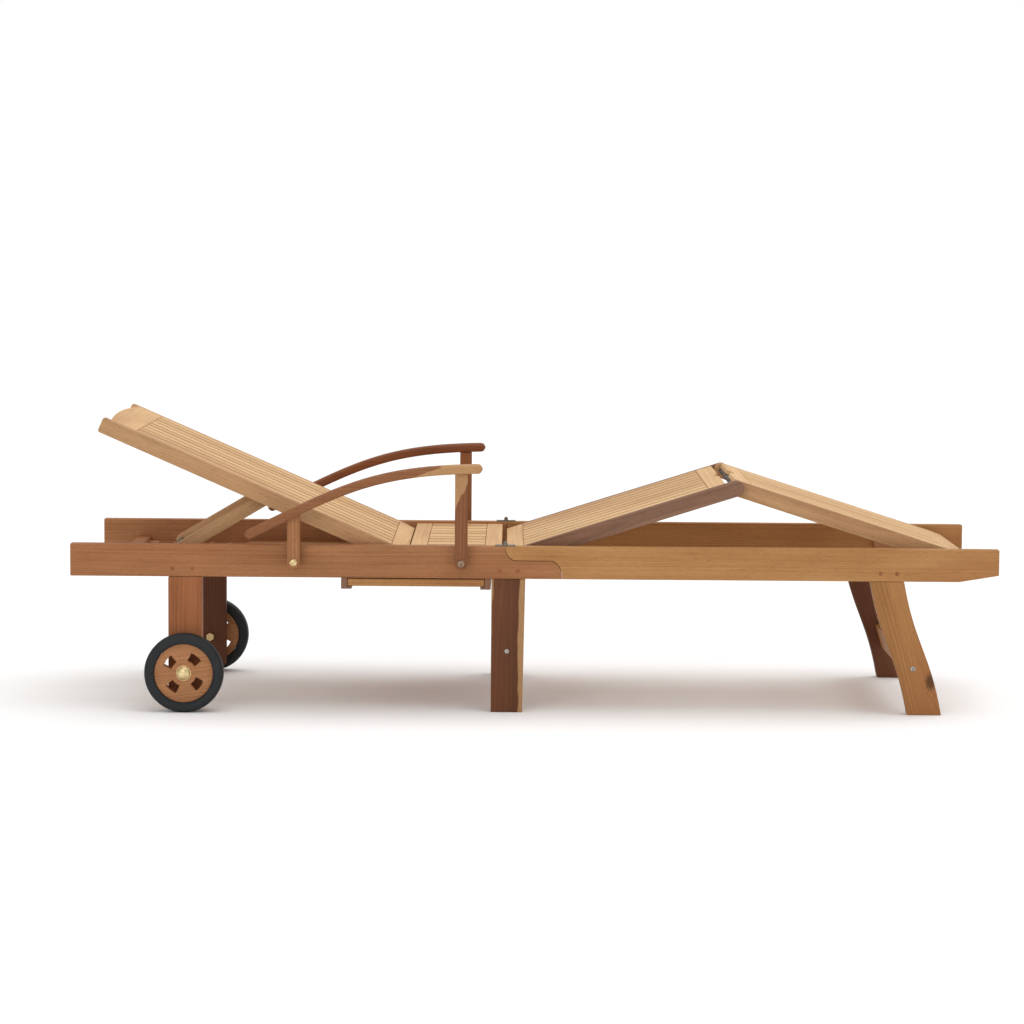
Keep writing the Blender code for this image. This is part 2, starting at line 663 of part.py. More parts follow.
def wheels():
    """Two rubber-tyred wooden wheels, each on a short bolt through its leg."""
    half = TYRE_WIDTH / 2
    middle = OUTER + WHEEL_CLEAR + half
    inner = WHEEL_RADIUS - TYRE_WALL
    corner = (TYRE_CORNER, TYRE_CORNER)
    tyre = [(inner, half)]
    tyre += arc(WHEEL_RADIUS - TYRE_CORNER, half - TYRE_CORNER, *corner, 90, 0, 4)
    tyre += arc(WHEEL_RADIUS - TYRE_CORNER, TYRE_CORNER - half, *corner, 0, -90, 4)
    tyre.append((inner, -half))
    disc_face = half - DISC_INSET
    for label, side in SIDES:
        axis = wheel_axes[label]
        ring = turned(f"tyre_{label}", tyre, 0, 0, 0, side, 36)
        place(ring, RUBBER, 0.7, parent=axis)
        rim = circle(0, 0, inner - FIT, 36)
        bore = circle(0, 0, AXLE + AXLE_FIT)
        windows = []
        for i in range(WINDOWS):
            turn = WINDOW_TURN + 360 * i / WINDOWS
            near, far = WINDOW_SPREAD
            window = arc(0, 0, WINDOW_IN, WINDOW_IN, turn - near, turn + near, 4)
            windows.append(window + arc(0, 0, WINDOW_OUT, WINDOW_OUT, turn + far, turn - far, 4))
        disc = outline(f"wheel_disc_{label}", rim, -disc_face, disc_face, [bore, *windows])
        place(disc, LEG_TEAK, parent=axis)

        face = middle + disc_face + FIT
        inside = face - (INNER - FIT)
        dome = arc(0, 0, DOME, DOME_HEIGHT, 90, 0, 5)
        profile = [(0, DOME_HEIGHT), *dome[1:], (AXLE, 0), (AXLE, -inside)]
        profile += [(NUT, -inside), (NUT, -inside - NUT_HEIGHT), (0, -inside - NUT_HEIGHT)]
        bolt = turned(f"axle_bolt_{label}", profile, AXLE_X, side * face, WHEEL_RADIUS, side, ROUND)
        place(bolt, BRASS, 0.3, 1.0)


def backrest():
    """The backrest panel, its pivot rod and the rod that the prop hangs on."""
    rails = (-BACK_REACH, SIDE_HALF)
    holes = [(0, 0), (-PROP_AT, -PROP_DROP)]
    side_rails("back_side_rail", rails, (SIDE_INNER, SIDE_OUTER), holes, back_axis, True)
    xs = (HEAD_INSET - BACK_REACH, BACK_TAIL)
    deck("back_deck", xs, SIDE_INNER - FIT, (HEAD_BOARD, BACK_BOARD), back_axis, HEAD_ARCH)
    reach = OUTER - RAIL_THICK / 2
    place(rod("back_pivot_rod", 0, 0, (-reach, reach), ROD), STEEL, 0.35, 1.0, back_axis)
    reach = SIDE_OUTER - FIT
    pin = rod("prop_pivot_rod", -PROP_AT, -PROP_DROP, (-reach, reach), ROD)
    place(pin, STEEL, 0.35, 1.0, back_axis)


def prop():
    """The U-shaped prop: two arms and the rod that drops into the notches."""
    half = PROP_WIDTH / 2
    shape = rounded_bar(-PROP_LENGTH - half, half, half)
    outer = SIDE_INNER - PROP_IN
    holes = [circle(0, 0, HOLE), circle(-PROP_LENGTH, 0, HOLE)]
    for label, side in SIDES:
        arm = outline(f"prop_arm_{label}", shape, *across(side, outer - PROP_THICK, outer), holes)
        place(arm, DECK_TEAK, 0.5, parent=prop_axis)
    reach = SIDE_INNER - SIDE_CLEAR
    place(rod("prop_rod", -PROP_LENGTH, 0, (-reach, reach), ROD), STEEL, 0.35, 1.0, prop_axis)


def seat():
    """The fixed seat deck between the two halves' panels."""
    xs = (from_head(SEAT_X), from_head(SEAT_END))
    deck("seat_deck", xs, INNER - FIT, (SEAT_BOARD, SEAT_BOARD), None)


def foot_frame():
    """The foot half: rails, curved legs, stretcher, cross batten and notched strips. Its
    sizes are taken from the hinge's axis, because it turns there."""

    def turn(points):
        return [(x - from_head(HINGE_X), z - HINGE_Z) for x, z in points]

    end = from_head(LENGTH)
    taper = [(end - FOOT_TAPER, RAIL_BOTTOM), (end, RAIL_BOTTOM + FOOT_RISE), (end, RAIL_TOP)]
    rail_shape = turn(scarf(FIT) + taper)
    low = end - FOOT_LEG_BACK
    bottom, top = 0, RAIL_BOTTOM - FIT
    steps = 12
    edge = []
    for i in range(steps + 1):
        t = i / steps
        sway = t - FOOT_LEG_SWAY * math.sin(2 * math.pi * t)
        edge.append((low + FOOT_LEG_SHIFT * sway, top + (bottom - top) * t))
    leg_shape = turn(edge + [(x + LEG_WIDTH, z) for x, z in edge[::-1]])
    for label, side in SIDES:
        ys = across(side, INNER, OUTER)
        rail = as_mesh(outline(f"foot_rail_{label}", rail_shape, *ys))
        place(rail, FOOT_TEAK, parent=fold_axis)
        socket = across(side, INNER - SIDE_CLEAR, OUTER - RAIL_THICK / 2 + FIT)
        drill(rail, THIGH_X - HINGE_X, PIVOT_Z - HINGE_Z, socket, HOLE)
        place(outline(f"foot_leg_{label}", leg_shape, *ys), FOOT_TEAK, parent=fold_axis)

    t = 1 - FOOT_STRETCHER_Z / RAIL_BOTTOM
    middle = low + FOOT_LEG_SHIFT * (t - FOOT_LEG_SWAY * math.sin(2 * math.pi * t)) + LEG_WIDTH / 2
    lean = math.atan2(FOOT_LEG_SHIFT, RAIL_BOTTOM)
    (x, z), = turn([(middle, FOOT_STRETCHER_Z)])
    thick, tall = STRETCHER_THICK / 2, STRETCHER_HEIGHT / 2
    width = (FIT - INNER, INNER - FIT)
    stretcher = block("foot_stretcher", (-thick, thick), width, (-tall, tall))
    stretcher.location = (x, 0, z)
    stretcher.rotation_euler.y = -lean
    place(stretcher, FOOT_TEAK, parent=fold_axis)

    (x, z), = turn([(end - FOOT_TAPER, RAIL_BOTTOM + FOOT_RISE)])
    batten = block("foot_cross_rail", (x - CROSS_THICK, x), width, (z - FOOT_RISE, z))
    place(batten, FOOT_TEAK, parent=fold_axis)

    rod_end = from_head(THIGH_X + 2 * LINK)
    rod_start = from_head(THIGH_X + 2 * LINK * math.cos(THIGH_MAX))
    tips = PIVOT_Z - ROD - TIP_CLEAR
    saw = teeth(rod_start - ROD, rod_end + ROD, lambda x: tips, FOOT_TEETH, FOOT_START)
    floor = RAIL_BOTTOM + FOOT_RISE + FIT
    strip = [(rod_start - 2 * ROD, floor), (rod_end + 2 * ROD, floor), (rod_end + 2 * ROD, tips)]
    strip += saw[::-1]
    strip.append((rod_start - 2 * ROD, tips))
    strip = turn(strip)
    for label, side in SIDES:
        ys = across(side, INNER - FIT - RATCHET_THICK, INNER - FIT)
        place(outline(f"foot_ratchet_{label}", strip, *ys), FOOT_TEAK, parent=fold_axis)


def knee_section():
    """The thigh panel, the calf panel that hinges on its knee rod, and the foot rod."""
    ends = (-SIDE_HALF, LINK + SIDE_HALF)
    side_rails("thigh_side_rail", ends, (SIDE_INNER, SIDE_OUTER), [(0, 0), (LINK, 0)], thigh_axis)
    sweep = SIDE_HALF + abs(SIDE_MIDDLE)  # of the calf rails' round ends, about the knee
    round_end = math.sqrt(sweep ** 2 - (DECK_TOP - DECK_THICK) ** 2)  # at the deck's underside
    xs = (-THIGH_TAIL, LINK - round_end - KNEE_FIT)
    boards = (KNEE_BOARD, KNEE_BOARD)
    deck("thigh_deck", xs, SIDE_INNER - FIT, boards, thigh_axis, notches=(0, THIGH_NOTCH))
    reach = OUTER - RAIL_THICK / 2
    place(rod("thigh_pivot_rod", 0, 0, (-reach, reach), ROD), STEEL, 0.35, 1.0, thigh_axis)
    reach = SIDE_OUTER - FIT
    place(rod("knee_rod", LINK, 0, (-reach, reach), ROD), STEEL, 0.35, 1.0, thigh_axis)

    ends = (-SIDE_HALF, LINK + CALF_TAIL - FIT)
    side_rails("calf_side_rail", ends, (CALF_INNER, CALF_OUTER), [(0, 0), (LINK, 0)], knee_axis)
    xs = (-KNEE_INSET, LINK + CALF_TAIL)
    boards = (KNEE_BOARD, CALF_BOARD)
    deck("calf_deck", xs, CALF_INNER - FIT, boards, knee_axis, notches=(CALF_NOTCH, 0))
    reach = SIDE_OUTER
    place(rod("foot_rod", LINK, 0, (-reach, reach), ROD), STEEL, 0.35, 1.0, knee_axis)


# Joint axes, with the panels raised to their first notch
AXLE_X = from_head(HEAD_LEG_X + LEG_WIDTH / 2)
back_axis = pivot("backrest_axis", from_head(BACK_X), PIVOT_Z, BACK_REST)
prop_turn = -prop_angle(BACK_REST) - BACK_REST
prop_axis = pivot("prop_axis", -PROP_AT, -PROP_DROP, prop_turn, back_axis)
fold_axis = pivot("fold_axis", from_head(HINGE_X), HINGE_Z)
thigh_axis = pivot("thigh_axis", THIGH_SET, PIVOT_Z - HINGE_Z, -THIGH_REST, fold_axis)
knee_axis = pivot("knee_axis", LINK, 0, 2 * THIGH_REST, thigh_axis)
slide_axis = pivot("tray_slide", 0, 0)
wheel_y = OUTER + WHEEL_CLEAR + TYRE_WIDTH / 2
wheel_axes = {label: pivot(f"wheel_axis_{label}", AXLE_X, WHEEL_RADIUS) for label, _ in SIDES}
for wheel_side, wheel_sign in SIDES:
    wheel_axes[wheel_side].location.y = wheel_sign * wheel_y

head_rails()
head_legs()
centre_legs()
cross_rails()
fold_hinges()
armrests()
tray_and_guides()
wheels()
backrest()
prop()
seat()
foot_frame()
knee_section()
print(f"{len(parts.objects)} pieces, {LENGTH:.3f} m long")
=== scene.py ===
import json
import math

import bpy
import numpy as np
from mathutils import Matrix, Vector


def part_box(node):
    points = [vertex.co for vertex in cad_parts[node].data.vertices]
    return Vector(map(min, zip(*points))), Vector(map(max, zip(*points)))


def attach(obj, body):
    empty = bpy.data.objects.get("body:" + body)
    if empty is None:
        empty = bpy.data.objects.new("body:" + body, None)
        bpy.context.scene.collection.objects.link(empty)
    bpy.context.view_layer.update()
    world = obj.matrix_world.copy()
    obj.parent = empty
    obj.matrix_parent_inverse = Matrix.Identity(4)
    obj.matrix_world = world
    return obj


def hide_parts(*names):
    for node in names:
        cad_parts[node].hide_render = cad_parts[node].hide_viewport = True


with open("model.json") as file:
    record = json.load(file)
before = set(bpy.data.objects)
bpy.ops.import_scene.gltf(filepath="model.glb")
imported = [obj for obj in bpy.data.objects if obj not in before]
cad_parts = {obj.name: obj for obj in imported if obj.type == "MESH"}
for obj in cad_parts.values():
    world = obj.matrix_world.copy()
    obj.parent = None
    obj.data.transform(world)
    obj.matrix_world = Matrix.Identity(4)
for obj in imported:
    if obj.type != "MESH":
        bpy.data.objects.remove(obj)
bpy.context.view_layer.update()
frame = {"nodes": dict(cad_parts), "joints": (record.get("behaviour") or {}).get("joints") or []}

joints = {joint["name"]: joint for joint in frame["joints"]}
scene = bpy.context.scene
scene.view_settings.view_transform = "Standard"
chance = np.random.default_rng(11)

view = {"place": (-0.0497, -7.106, 1.0554), "pitch": 5.21, "roll": 0.427, "lens": 111.8, "sensor": 36.0}
lensBody = bpy.data.cameras.new("camera")
lensBody.lens = view["lens"]
lensBody.sensor_width = view["sensor"]
camera = bpy.data.objects.new("camera", lensBody)
scene.collection.objects.link(camera)
tilt = Matrix.Rotation(math.radians(90 - view["pitch"]), 4, "X")
roll = Matrix.Rotation(math.radians(view["roll"]), 4, "Z")
camera.matrix_world = Matrix.Translation(view["place"]) @ tilt @ roll
scene.camera = camera


class Wire:
    # A socket that can be used in sums: each sum adds its Math node.

    def __init__(self, sheet, socket):
        self.sheet = sheet
        self.socket = socket

    def sum(self, operation, *values):
        return self.sheet.add("ShaderNodeMath", {"operation": operation}, dict(enumerate(values)))

    def __add__(self, other):
        return self.sum("ADD", self, other)

    def __radd__(self, other):
        return self.sum("ADD", other, self)

    def __sub__(self, other):
        return self.sum("SUBTRACT", self, other)

    def __rsub__(self, other):
        return self.sum("SUBTRACT", other, self)

    def __mul__(self, other):
        return self.sum("MULTIPLY", self, other)

    def __rmul__(self, other):
        return self.sum("MULTIPLY", other, self)

    def __pow__(self, other):
        return self.sum("POWER", self, other)

    def ramp(self, low, high):
        # 0 below low, 1 above high, smooth between.
        sockets = {0: self, 1: low, 2: high, 3: 0.0, 4: 1.0}
        return self.sheet.add("ShaderNodeMapRange", {"interpolation_type": "SMOOTHSTEP"}, sockets)


class Sheet:
    # One material and its nodes.

    def __init__(self, name, **fixed):
        self.material = bpy.data.materials.new(name)
        self.material.use_nodes = True
        self.tree = self.material.node_tree
        self.shader = self.tree.nodes["Principled BSDF"]
        for socket, value in fixed.items():
            self.shader.inputs[socket.replace("_", " ")].default_value = value

    def add(self, kind, settings, sockets, out=0):
        # A node of a kind, with its settings made first and then its sockets' values or links.
        node = self.tree.nodes.new(kind)
        for key, value in settings.items():
            if key == "stops":
                for i, (place, colour) in enumerate(value):
                    stop = node.color_ramp.elements[i] if i < 2 else node.color_ramp.elements.new(place)
                    stop.position = place
                    stop.color = (*colour, 1.0)
            else:
                setattr(node, key, value)
        for key, value in sockets.items():
            self.put(node.inputs[key], value)
        return Wire(self, node.outputs[out])

    def put(self, socket, value):
        if isinstance(value, Wire):
            self.tree.links.new(value.socket, socket)
        else:
            socket.default_value = value

    def noise(self, vector, scale, detail=2.0, roughness=0.5, squeeze=(1, 1, 1)):
        # Cloud noise on a vector that is stretched by squeeze first.
        stretched = self.add("ShaderNodeVectorMath", {"operation": "MULTIPLY"}, {0: vector, 1: squeeze})
        sockets = {"Vector": stretched, "Scale": scale, "Detail": detail, "Roughness": roughness}
        return self.add("ShaderNodeTexNoise", {"noise_dimensions": "3D"}, sockets)

    def mix(self, factor, first, second, blend="MIX"):
        # Two colours mixed.
        sockets = {0: factor, 6: first, 7: second}
        return self.add("ShaderNodeMix", {"data_type": "RGBA", "blend_type": blend}, sockets, 2)

    def bump(self, height, strength, distance):
        sockets = {"Height": height, "Strength": strength, "Distance": distance}
        return self.add("ShaderNodeBump", {}, sockets)

    def finish(self, **links):
        for socket, value in links.items():
            self.put(self.shader.inputs[socket.replace("_", " ")], value)
        return self.material


def rgb(colour):
    return (*colour, 1.0)


teak = {
    "frame": {"dark": (0.240, 0.098, 0.038), "mid": (0.420, 0.190, 0.082), "light": (0.560, 0.300, 0.150)},
    "legs": {"dark": (0.170, 0.056, 0.022), "mid": (0.345, 0.126, 0.050), "light": (0.480, 0.205, 0.092)},
    # The darkest tones: dark heartwood on the centre legs, and painted shade on the far head and foot legs.
    "core": {"dark": (0.068, 0.024, 0.012), "mid": (0.126, 0.047, 0.023), "light": (0.195, 0.083, 0.042)},
    "foot": {"dark": (0.270, 0.112, 0.036), "mid": (0.415, 0.198, 0.070), "light": (0.545, 0.300, 0.120)},
    # The slats' tones are paler than the frame's and the bars': partly the wood, and partly painted light
    # for the stronger light on the slats' upturned faces.
    "slats": {"dark": (0.560, 0.325, 0.150), "mid": (0.720, 0.450, 0.215), "light": (0.830, 0.570, 0.310)},
    "bars": {"dark": (0.360, 0.200, 0.095), "mid": (0.525, 0.305, 0.150), "light": (0.650, 0.410, 0.225)},
    "thigh": {"dark": (0.140, 0.074, 0.044), "mid": (0.262, 0.142, 0.090), "light": (0.360, 0.215, 0.140)},
    "arms": {"dark": (0.160, 0.060, 0.025), "mid": (0.275, 0.110, 0.046), "light": (0.390, 0.178, 0.084)},
    "farArm": {"dark": (0.130, 0.042, 0.016), "mid": (0.225, 0.076, 0.030), "light": (0.330, 0.135, 0.060)},
}
sapTeak = (0.56, 0.330, 0.150)


def teakFinish(name, tones):
    # Oiled teak, solid through the board. Rings: noise on the distance from a pith line beside
    # the board, which wanders along it and bulges round a knot. Over them go fine lines, fibres
    # and short pores drawn out along the grain. Sapwood starts past the sap distance.
    sheet = Sheet(name, Roughness=0.5, Specular_IOR_Level=0.14)
    grain = sheet.add("ShaderNodeAttribute", {"attribute_name": "grain"}, {}, 1)
    knotPlace = sheet.add("ShaderNodeAttribute", {"attribute_name": "knot"}, {}, 1)
    tone = sheet.add("ShaderNodeAttribute", {"attribute_name": "tone"}, {}, 2)
    sap = sheet.add("ShaderNodeAttribute", {"attribute_name": "sap"}, {}, 2)
    shelter = sheet.add("ShaderNodeAttribute", {"attribute_name": "shelter"}, {}, 2)
    parts = sheet.tree.nodes.new("ShaderNodeSeparateXYZ")
    sheet.put(parts.inputs[0], grain)
    along, across, deep = (Wire(sheet, socket) for socket in parts.outputs)
    away = sheet.add("ShaderNodeVectorMath", {"operation": "LENGTH"}, {0: knotPlace}, 1)
    near = 1 - away.ramp(0.002, 0.030)
    drift = sheet.noise(grain, 1.0, 2.0, 0.5, (1.3, 9.0, 9.0)) - 0.5
    shiver = sheet.noise(grain, 1.0, 2.0, 0.6, (8.0, 60.0, 60.0)) - 0.5
    radius = (across * across + deep * deep) ** 0.5 + drift * 0.020 + shiver * 0.0018 + near * 0.010
    ringSockets = {"W": radius * 260.0, "Scale": 1.0, "Detail": 2.0, "Roughness": 0.65}
    rings = sheet.add("ShaderNodeTexNoise", {"noise_dimensions": "1D"}, ringSockets)
    lineSockets = {"W": radius * 950.0, "Scale": 1.0, "Detail": 1.0}
    lines = sheet.add("ShaderNodeTexNoise", {"noise_dimensions": "1D"}, lineSockets)
    fibre = sheet.noise(grain, 1.0, 3.0, 0.6, (11.0, 620.0, 620.0))
    pores = sheet.noise(grain, 1.0, 1.0, 0.5, (75.0, 1700.0, 1700.0)).ramp(0.58, 0.74)
    cloud = sheet.noise(grain, 1.0, 2.0, 0.5, (4.0, 22.0, 22.0))
    level = rings * 0.48 + lines * 0.20 + fibre * 0.30 + cloud * 0.56 + tone * 0.26 - 0.47
    stops = [(0.10, tones["dark"]), (0.90, tones["light"]), (0.48, tones["mid"])]
    colour = sheet.add("ShaderNodeValToRGB", {"stops": stops}, {0: level})
    paler = sheet.mix(0.65, colour, rgb(sapTeak))
    colour = sheet.mix((radius + shiver * 0.01 - sap).ramp(-0.0008, 0.0008), colour, paler)
    redness = sheet.noise(grain, 1.0, 1.0, 0.5, (2.2, 7.0, 7.0)).ramp(0.45, 0.75)
    colour = sheet.mix(redness * 0.30, colour, rgb((0.33, 0.115, 0.042)))
    colour = sheet.mix(pores * 0.45, colour, rgb((0.09, 0.036, 0.015)))
    knotRings = sheet.noise(knotPlace, 1.0, 2.0, 0.6, (420.0, 420.0, 420.0))
    knotShade = (1 - (away + (knotRings - 0.5) * 0.004).ramp(0.0032, 0.0095)) * 0.75
    colour = sheet.mix(knotShade, colour, rgb((0.055, 0.022, 0.012)))
    # Painted shade: the slats' sides down in the gaps between them darken towards deep brown.
    colour = sheet.mix(shelter * 0.85, colour, rgb((0.085, 0.036, 0.016)))
    rough = 0.46 + fibre * 0.16 + pores * 0.10
    relief = fibre * 0.6 + rings * 0.3 - pores * 0.9
    return sheet.finish(Base_Color=colour, Roughness=rough, Normal=sheet.bump(relief, 0.35, 0.0005))


def rubberFinish():
    # Matt moulded rubber with dust in its grain.
    sheet = Sheet("tyreRubber", Specular_IOR_Level=0.35)
    place = sheet.add("ShaderNodeTexCoord", {}, {}, 3)
    speck = sheet.noise(place, 1.0, 3.0, 0.6, (900, 900, 900))
    dust = sheet.noise(place, 1.0, 3.0, 0.6, (26, 26, 26)).ramp(0.42, 0.8)
    colour = sheet.mix(dust * 0.30, rgb((0.0115, 0.0135, 0.0150)), rgb((0.030, 0.031, 0.031)))
    roughness = 0.52 + speck * 0.2
    return sheet.finish(Base_Color=colour, Roughness=roughness, Normal=sheet.bump(speck, 0.25, 0.0004))


def metalFinish(name, bright, dull, rough):
    # Turned metal, dulled in patches.
    sheet = Sheet(name, Metallic=1.0)
    place = sheet.add("ShaderNodeTexCoord", {}, {}, 3)
    patches = sheet.noise(place, 1.0, 3.0, 0.6, (130, 130, 130)).ramp(0.40, 0.72)
    scratch = sheet.noise(place, 1.0, 2.0, 0.6, (300, 3200, 300))
    colour = sheet.mix(patches * 0.7, rgb(bright), rgb(dull))
    roughness = rough + patches * 0.22 + scratch * 0.08
    return sheet.finish(Base_Color=colour, Roughness=roughness, Normal=sheet.bump(scratch, 0.12, 0.0002))


woods = {name: teakFinish(f"teak_{name}", tones) for name, tones in teak.items()}
rubber = rubberFinish()
brass = metalFinish("brass", (0.80, 0.62, 0.33), (0.42, 0.30, 0.14), 0.24)
steel = metalFinish("steel", (0.44, 0.41, 0.38), (0.20, 0.175, 0.155), 0.30)
zinc = metalFinish("dull_zinc", (0.20, 0.18, 0.145), (0.09, 0.08, 0.062), 0.40)
bronze = metalFinish("dark_bronze", (0.36, 0.235, 0.155), (0.15, 0.09, 0.055), 0.38)
# Dark steel for the rods; on the knee rod in the gap between the thigh and calf decks, part of its dark is
# painted shade.
darkSteel = metalFinish("aged_steel", (0.15, 0.13, 0.115), (0.07, 0.055, 0.045), 0.48)
print("materials made")


cornerSteps = 4
holdBack = 0.0012  # a ring this far inside each rounded edge keeps the flats flat
upright = np.eye(4)


def space(pivot, degrees):
    # The panel's own axes in the frame: turned about +Y at its pivot.
    return np.array(Matrix.Translation(pivot) @ Matrix.Rotation(math.radians(degrees), 4, "Y"))


def localBox(node, axes):
    # A node's lowest and highest corners, seen from a panel's own axes.
    mesh = frame["nodes"][node].data
    points = np.empty(len(mesh.vertices) * 3, np.float32)
    mesh.vertices.foreach_get("co", points)
    points = points.reshape(-1, 3).astype(float)
    inverse = np.linalg.inv(axes)
    points = points @ inverse[:3, :3].T + inverse[:3, 3]
    return points.min(0), points.max(0)


def outward(points, faces):
    # Turns every face round if the closed shape's volume comes out negative.
    volume = 0.0
    for face in faces:
        a = points[face[0]]
        for b, c in zip(face[1:-1], face[2:]):
            volume += np.dot(a, np.cross(points[b], points[c]))
    return faces if volume > 0 else [face[::-1] for face in faces]


def tube(rings, closedAlong=False):
    # Faces between rings of points, each ring closed on itself, with flat caps at the ends.
    count, around = rings.shape[:2]
    index = np.arange(count * around).reshape(count, around)
    ahead = np.roll(index, -1, 0) if closedAlong else index[1:]
    here = index if closedAlong else index[:-1]
    quads = np.stack([here, np.roll(here, -1, 1), np.roll(ahead, -1, 1), ahead], -1).reshape(-1, 4)
    faces = quads.tolist()
    if not closedAlong:
        faces += [index[0, ::-1].tolist(), index[-1].tolist()]
    points = rings.reshape(-1, 3)
    return points, outward(points, faces)


def roundedRings(centre, up, side, halfUp, halfSide, edge):
    # A rounded rectangle at each station: quarter circles of radius edge at its corners, with
    # a held point on the flat at each side of them.
    radius = np.minimum(edge, np.minimum(halfUp, halfSide) * 0.98)[:, None]
    hold = np.minimum(holdBack, np.maximum(np.minimum(halfUp, halfSide)[:, None] - radius, 0) * 0.9)
    rows = []
    for corner, (signUp, signSide) in enumerate(((1, 1), (-1, 1), (-1, -1), (1, -1))):
        angles = np.radians(90 * corner + np.linspace(0, 90, cornerSteps + 1))[None, :]
        u = signUp * (halfUp[:, None] - radius) + radius * np.cos(angles)
        v = signSide * (halfSide[:, None] - radius) + radius * np.sin(angles)
        before, after = np.radians(90 * corner - 90), np.radians(90 * corner + 180)
        first = (u[:, :1] + hold * np.cos(before), v[:, :1] + hold * np.sin(before))
        last = (u[:, -1:] + hold * np.cos(after), v[:, -1:] + hold * np.sin(after))
        rows.append((np.hstack([first[0], u, last[0]]), np.hstack([first[1], v, last[1]])))
    u = np.hstack([row[0] for row in rows])
    v = np.hstack([row[1] for row in rows])
    return centre[:, None] + u[..., None] * up[:, None] + v[..., None] * side[:, None]


def withEnds(centre, up, side, halfUp, halfSide, edge, ends):
    # Adds stations that round off each end by a quarter circle, then one to hold the flat.
    turns = np.radians(np.linspace(90, 0, cornerSteps + 1))
    steps = np.append(edge * (1 - np.sin(turns)), edge + holdBack)
    shrink = np.append(edge * (1 - np.cos(turns)), 0.0)
    for place in (0, -1):
        if not ends[place]:
            continue
        inward = centre[1] - centre[0] if place == 0 else centre[-2] - centre[-1]
        inward = inward / np.linalg.norm(inward)
        rows = centre[place] + steps[:, None] * inward
        ups = np.repeat(up[place][None], len(steps), 0)
        spans = np.repeat(side[place][None], len(steps), 0)
        heights, widths = halfUp[place] - shrink, halfSide[place] - shrink
        if place == 0:
            centre = np.vstack([rows, centre[1:]])
            up, side = np.vstack([ups, up[1:]]), np.vstack([spans, side[1:]])
            halfUp, halfSide = np.append(heights, halfUp[1:]), np.append(widths, halfSide[1:])
        else:
            centre = np.vstack([centre[:-1], rows[::-1]])
            up, side = np.vstack([up[:-1], ups]), np.vstack([side[:-1], spans])
            halfUp = np.append(halfUp[:-1], heights[::-1])
            halfSide = np.append(halfSide[:-1], widths[::-1])
    return centre, up, side, halfUp, halfSide


def figure(points, order, pith, sap=9.0, slant=0.0, turn=0.0, knot=None, knotSize=1.0):
    # Each point's place in the log that the board was sawn from: along, across and through
    # the board from a pith line, with the board set at its own place along the log. turn, in
    # degrees, leans the log in the plane of the board's face. The sapwood starts at the sap
    # distance from the pith line at the board's middle, plus slant for each metre along it.
    place = points[:, order]
    middle = (place.min(0) + place.max(0)) / 2
    place = place - middle
    lean = math.radians(turn)
    along = place[:, 0] * math.cos(lean) + place[:, 1] * math.sin(lean)
    across = place[:, 1] * math.cos(lean) - place[:, 0] * math.sin(lean)
    start = chance.uniform(-40, 40)
    tone = np.full(len(points), chance.uniform(0, 1))
    grain = np.stack([along + start, across + pith[0], place[:, 2] + pith[1]], 1)
    spot = (middle[0] + 9.0, middle[1]) if knot is None else knot
    besideKnot = place[:, :2] + middle[:2] - np.array(spot)
    reach = [besideKnot[:, 0] * 0.6, besideKnot[:, 1], place[:, 2] * 0.2]
    away = np.stack(reach, 1) / knotSize
    blank = np.zeros(len(points))
    return {"grain": grain, "knot": away, "tone": tone, "sap": sap + slant * place[:, 0], "shelter": blank}


def anyPith():
    # A pith line to one side of the board and well behind it, as in most sawn boards.
    return (chance.uniform(-0.03, 0.03), chance.uniform(0.03, 0.09) * chance.choice((-1, 1)))


def board(order, along, low, high, thick, edge=0.0025, ends=(1, 1), **wood):
    # A board with rounded edges. order names its long, wide and thick axes. along holds its
    # stations, low and high its two edges there, and thick its two faces.
    axes = ["xyz".index(letter) for letter in order]
    along = np.asarray(along, float)
    low, high = np.broadcast_to(low, along.shape), np.broadcast_to(high, along.shape)
    centre = np.zeros((len(along), 3))
    centre[:, axes[0]] = along
    centre[:, axes[1]] = (low + high) / 2
    centre[:, axes[2]] = sum(thick) / 2
    up = np.repeat(np.eye(3)[axes[1]][None], len(along), 0)
    side = np.repeat(np.eye(3)[axes[2]][None], len(along), 0)
    halfSide = np.full(len(along), abs(thick[1] - thick[0]) / 2)
    return swept(centre, up, side, (high - low) / 2, halfSide, edge, ends, axes, **wood)


def swept(centre, up, side, halfUp, halfSide, edge, ends, axes, **wood):
    # A rounded rectangle carried along a line of stations.
    rings = roundedRings(*withEnds(centre, up, side, halfUp, halfSide, edge, ends), edge)
    points, faces = tube(rings)
    wood.setdefault("pith", anyPith())
    return {"points": points, "faces": faces, **figure(points, axes, **wood)}


def turned(profile, place, side, facets=40):
    # A profile of (radius, height, hexness) carried round an axis along Y, its heights
    # outwards. hexness draws a ring from a circle to a hexagon.
    angles = np.linspace(0, 2 * math.pi, facets, endpoint=False)
    hexagon = math.cos(math.pi / 6) / np.cos((angles + math.pi / 6) % (math.pi / 3) - math.pi / 6)
    radius, height, hexness = (np.array(column)[:, None] for column in zip(*profile))
    reach = radius * (1 - hexness + hexness * hexagon)
    out = np.broadcast_to(place[1] + side * height, reach.shape)
    rings = np.stack([place[0] + reach * np.cos(angles), out, place[2] + reach * np.sin(angles)], -1)
    points, faces = tube(rings)
    return {"points": points, "faces": faces}


attributes = {
    "grain": "FLOAT_VECTOR", "knot": "FLOAT_VECTOR", "tone": "FLOAT", "sap": "FLOAT", "shelter": "FLOAT",
}


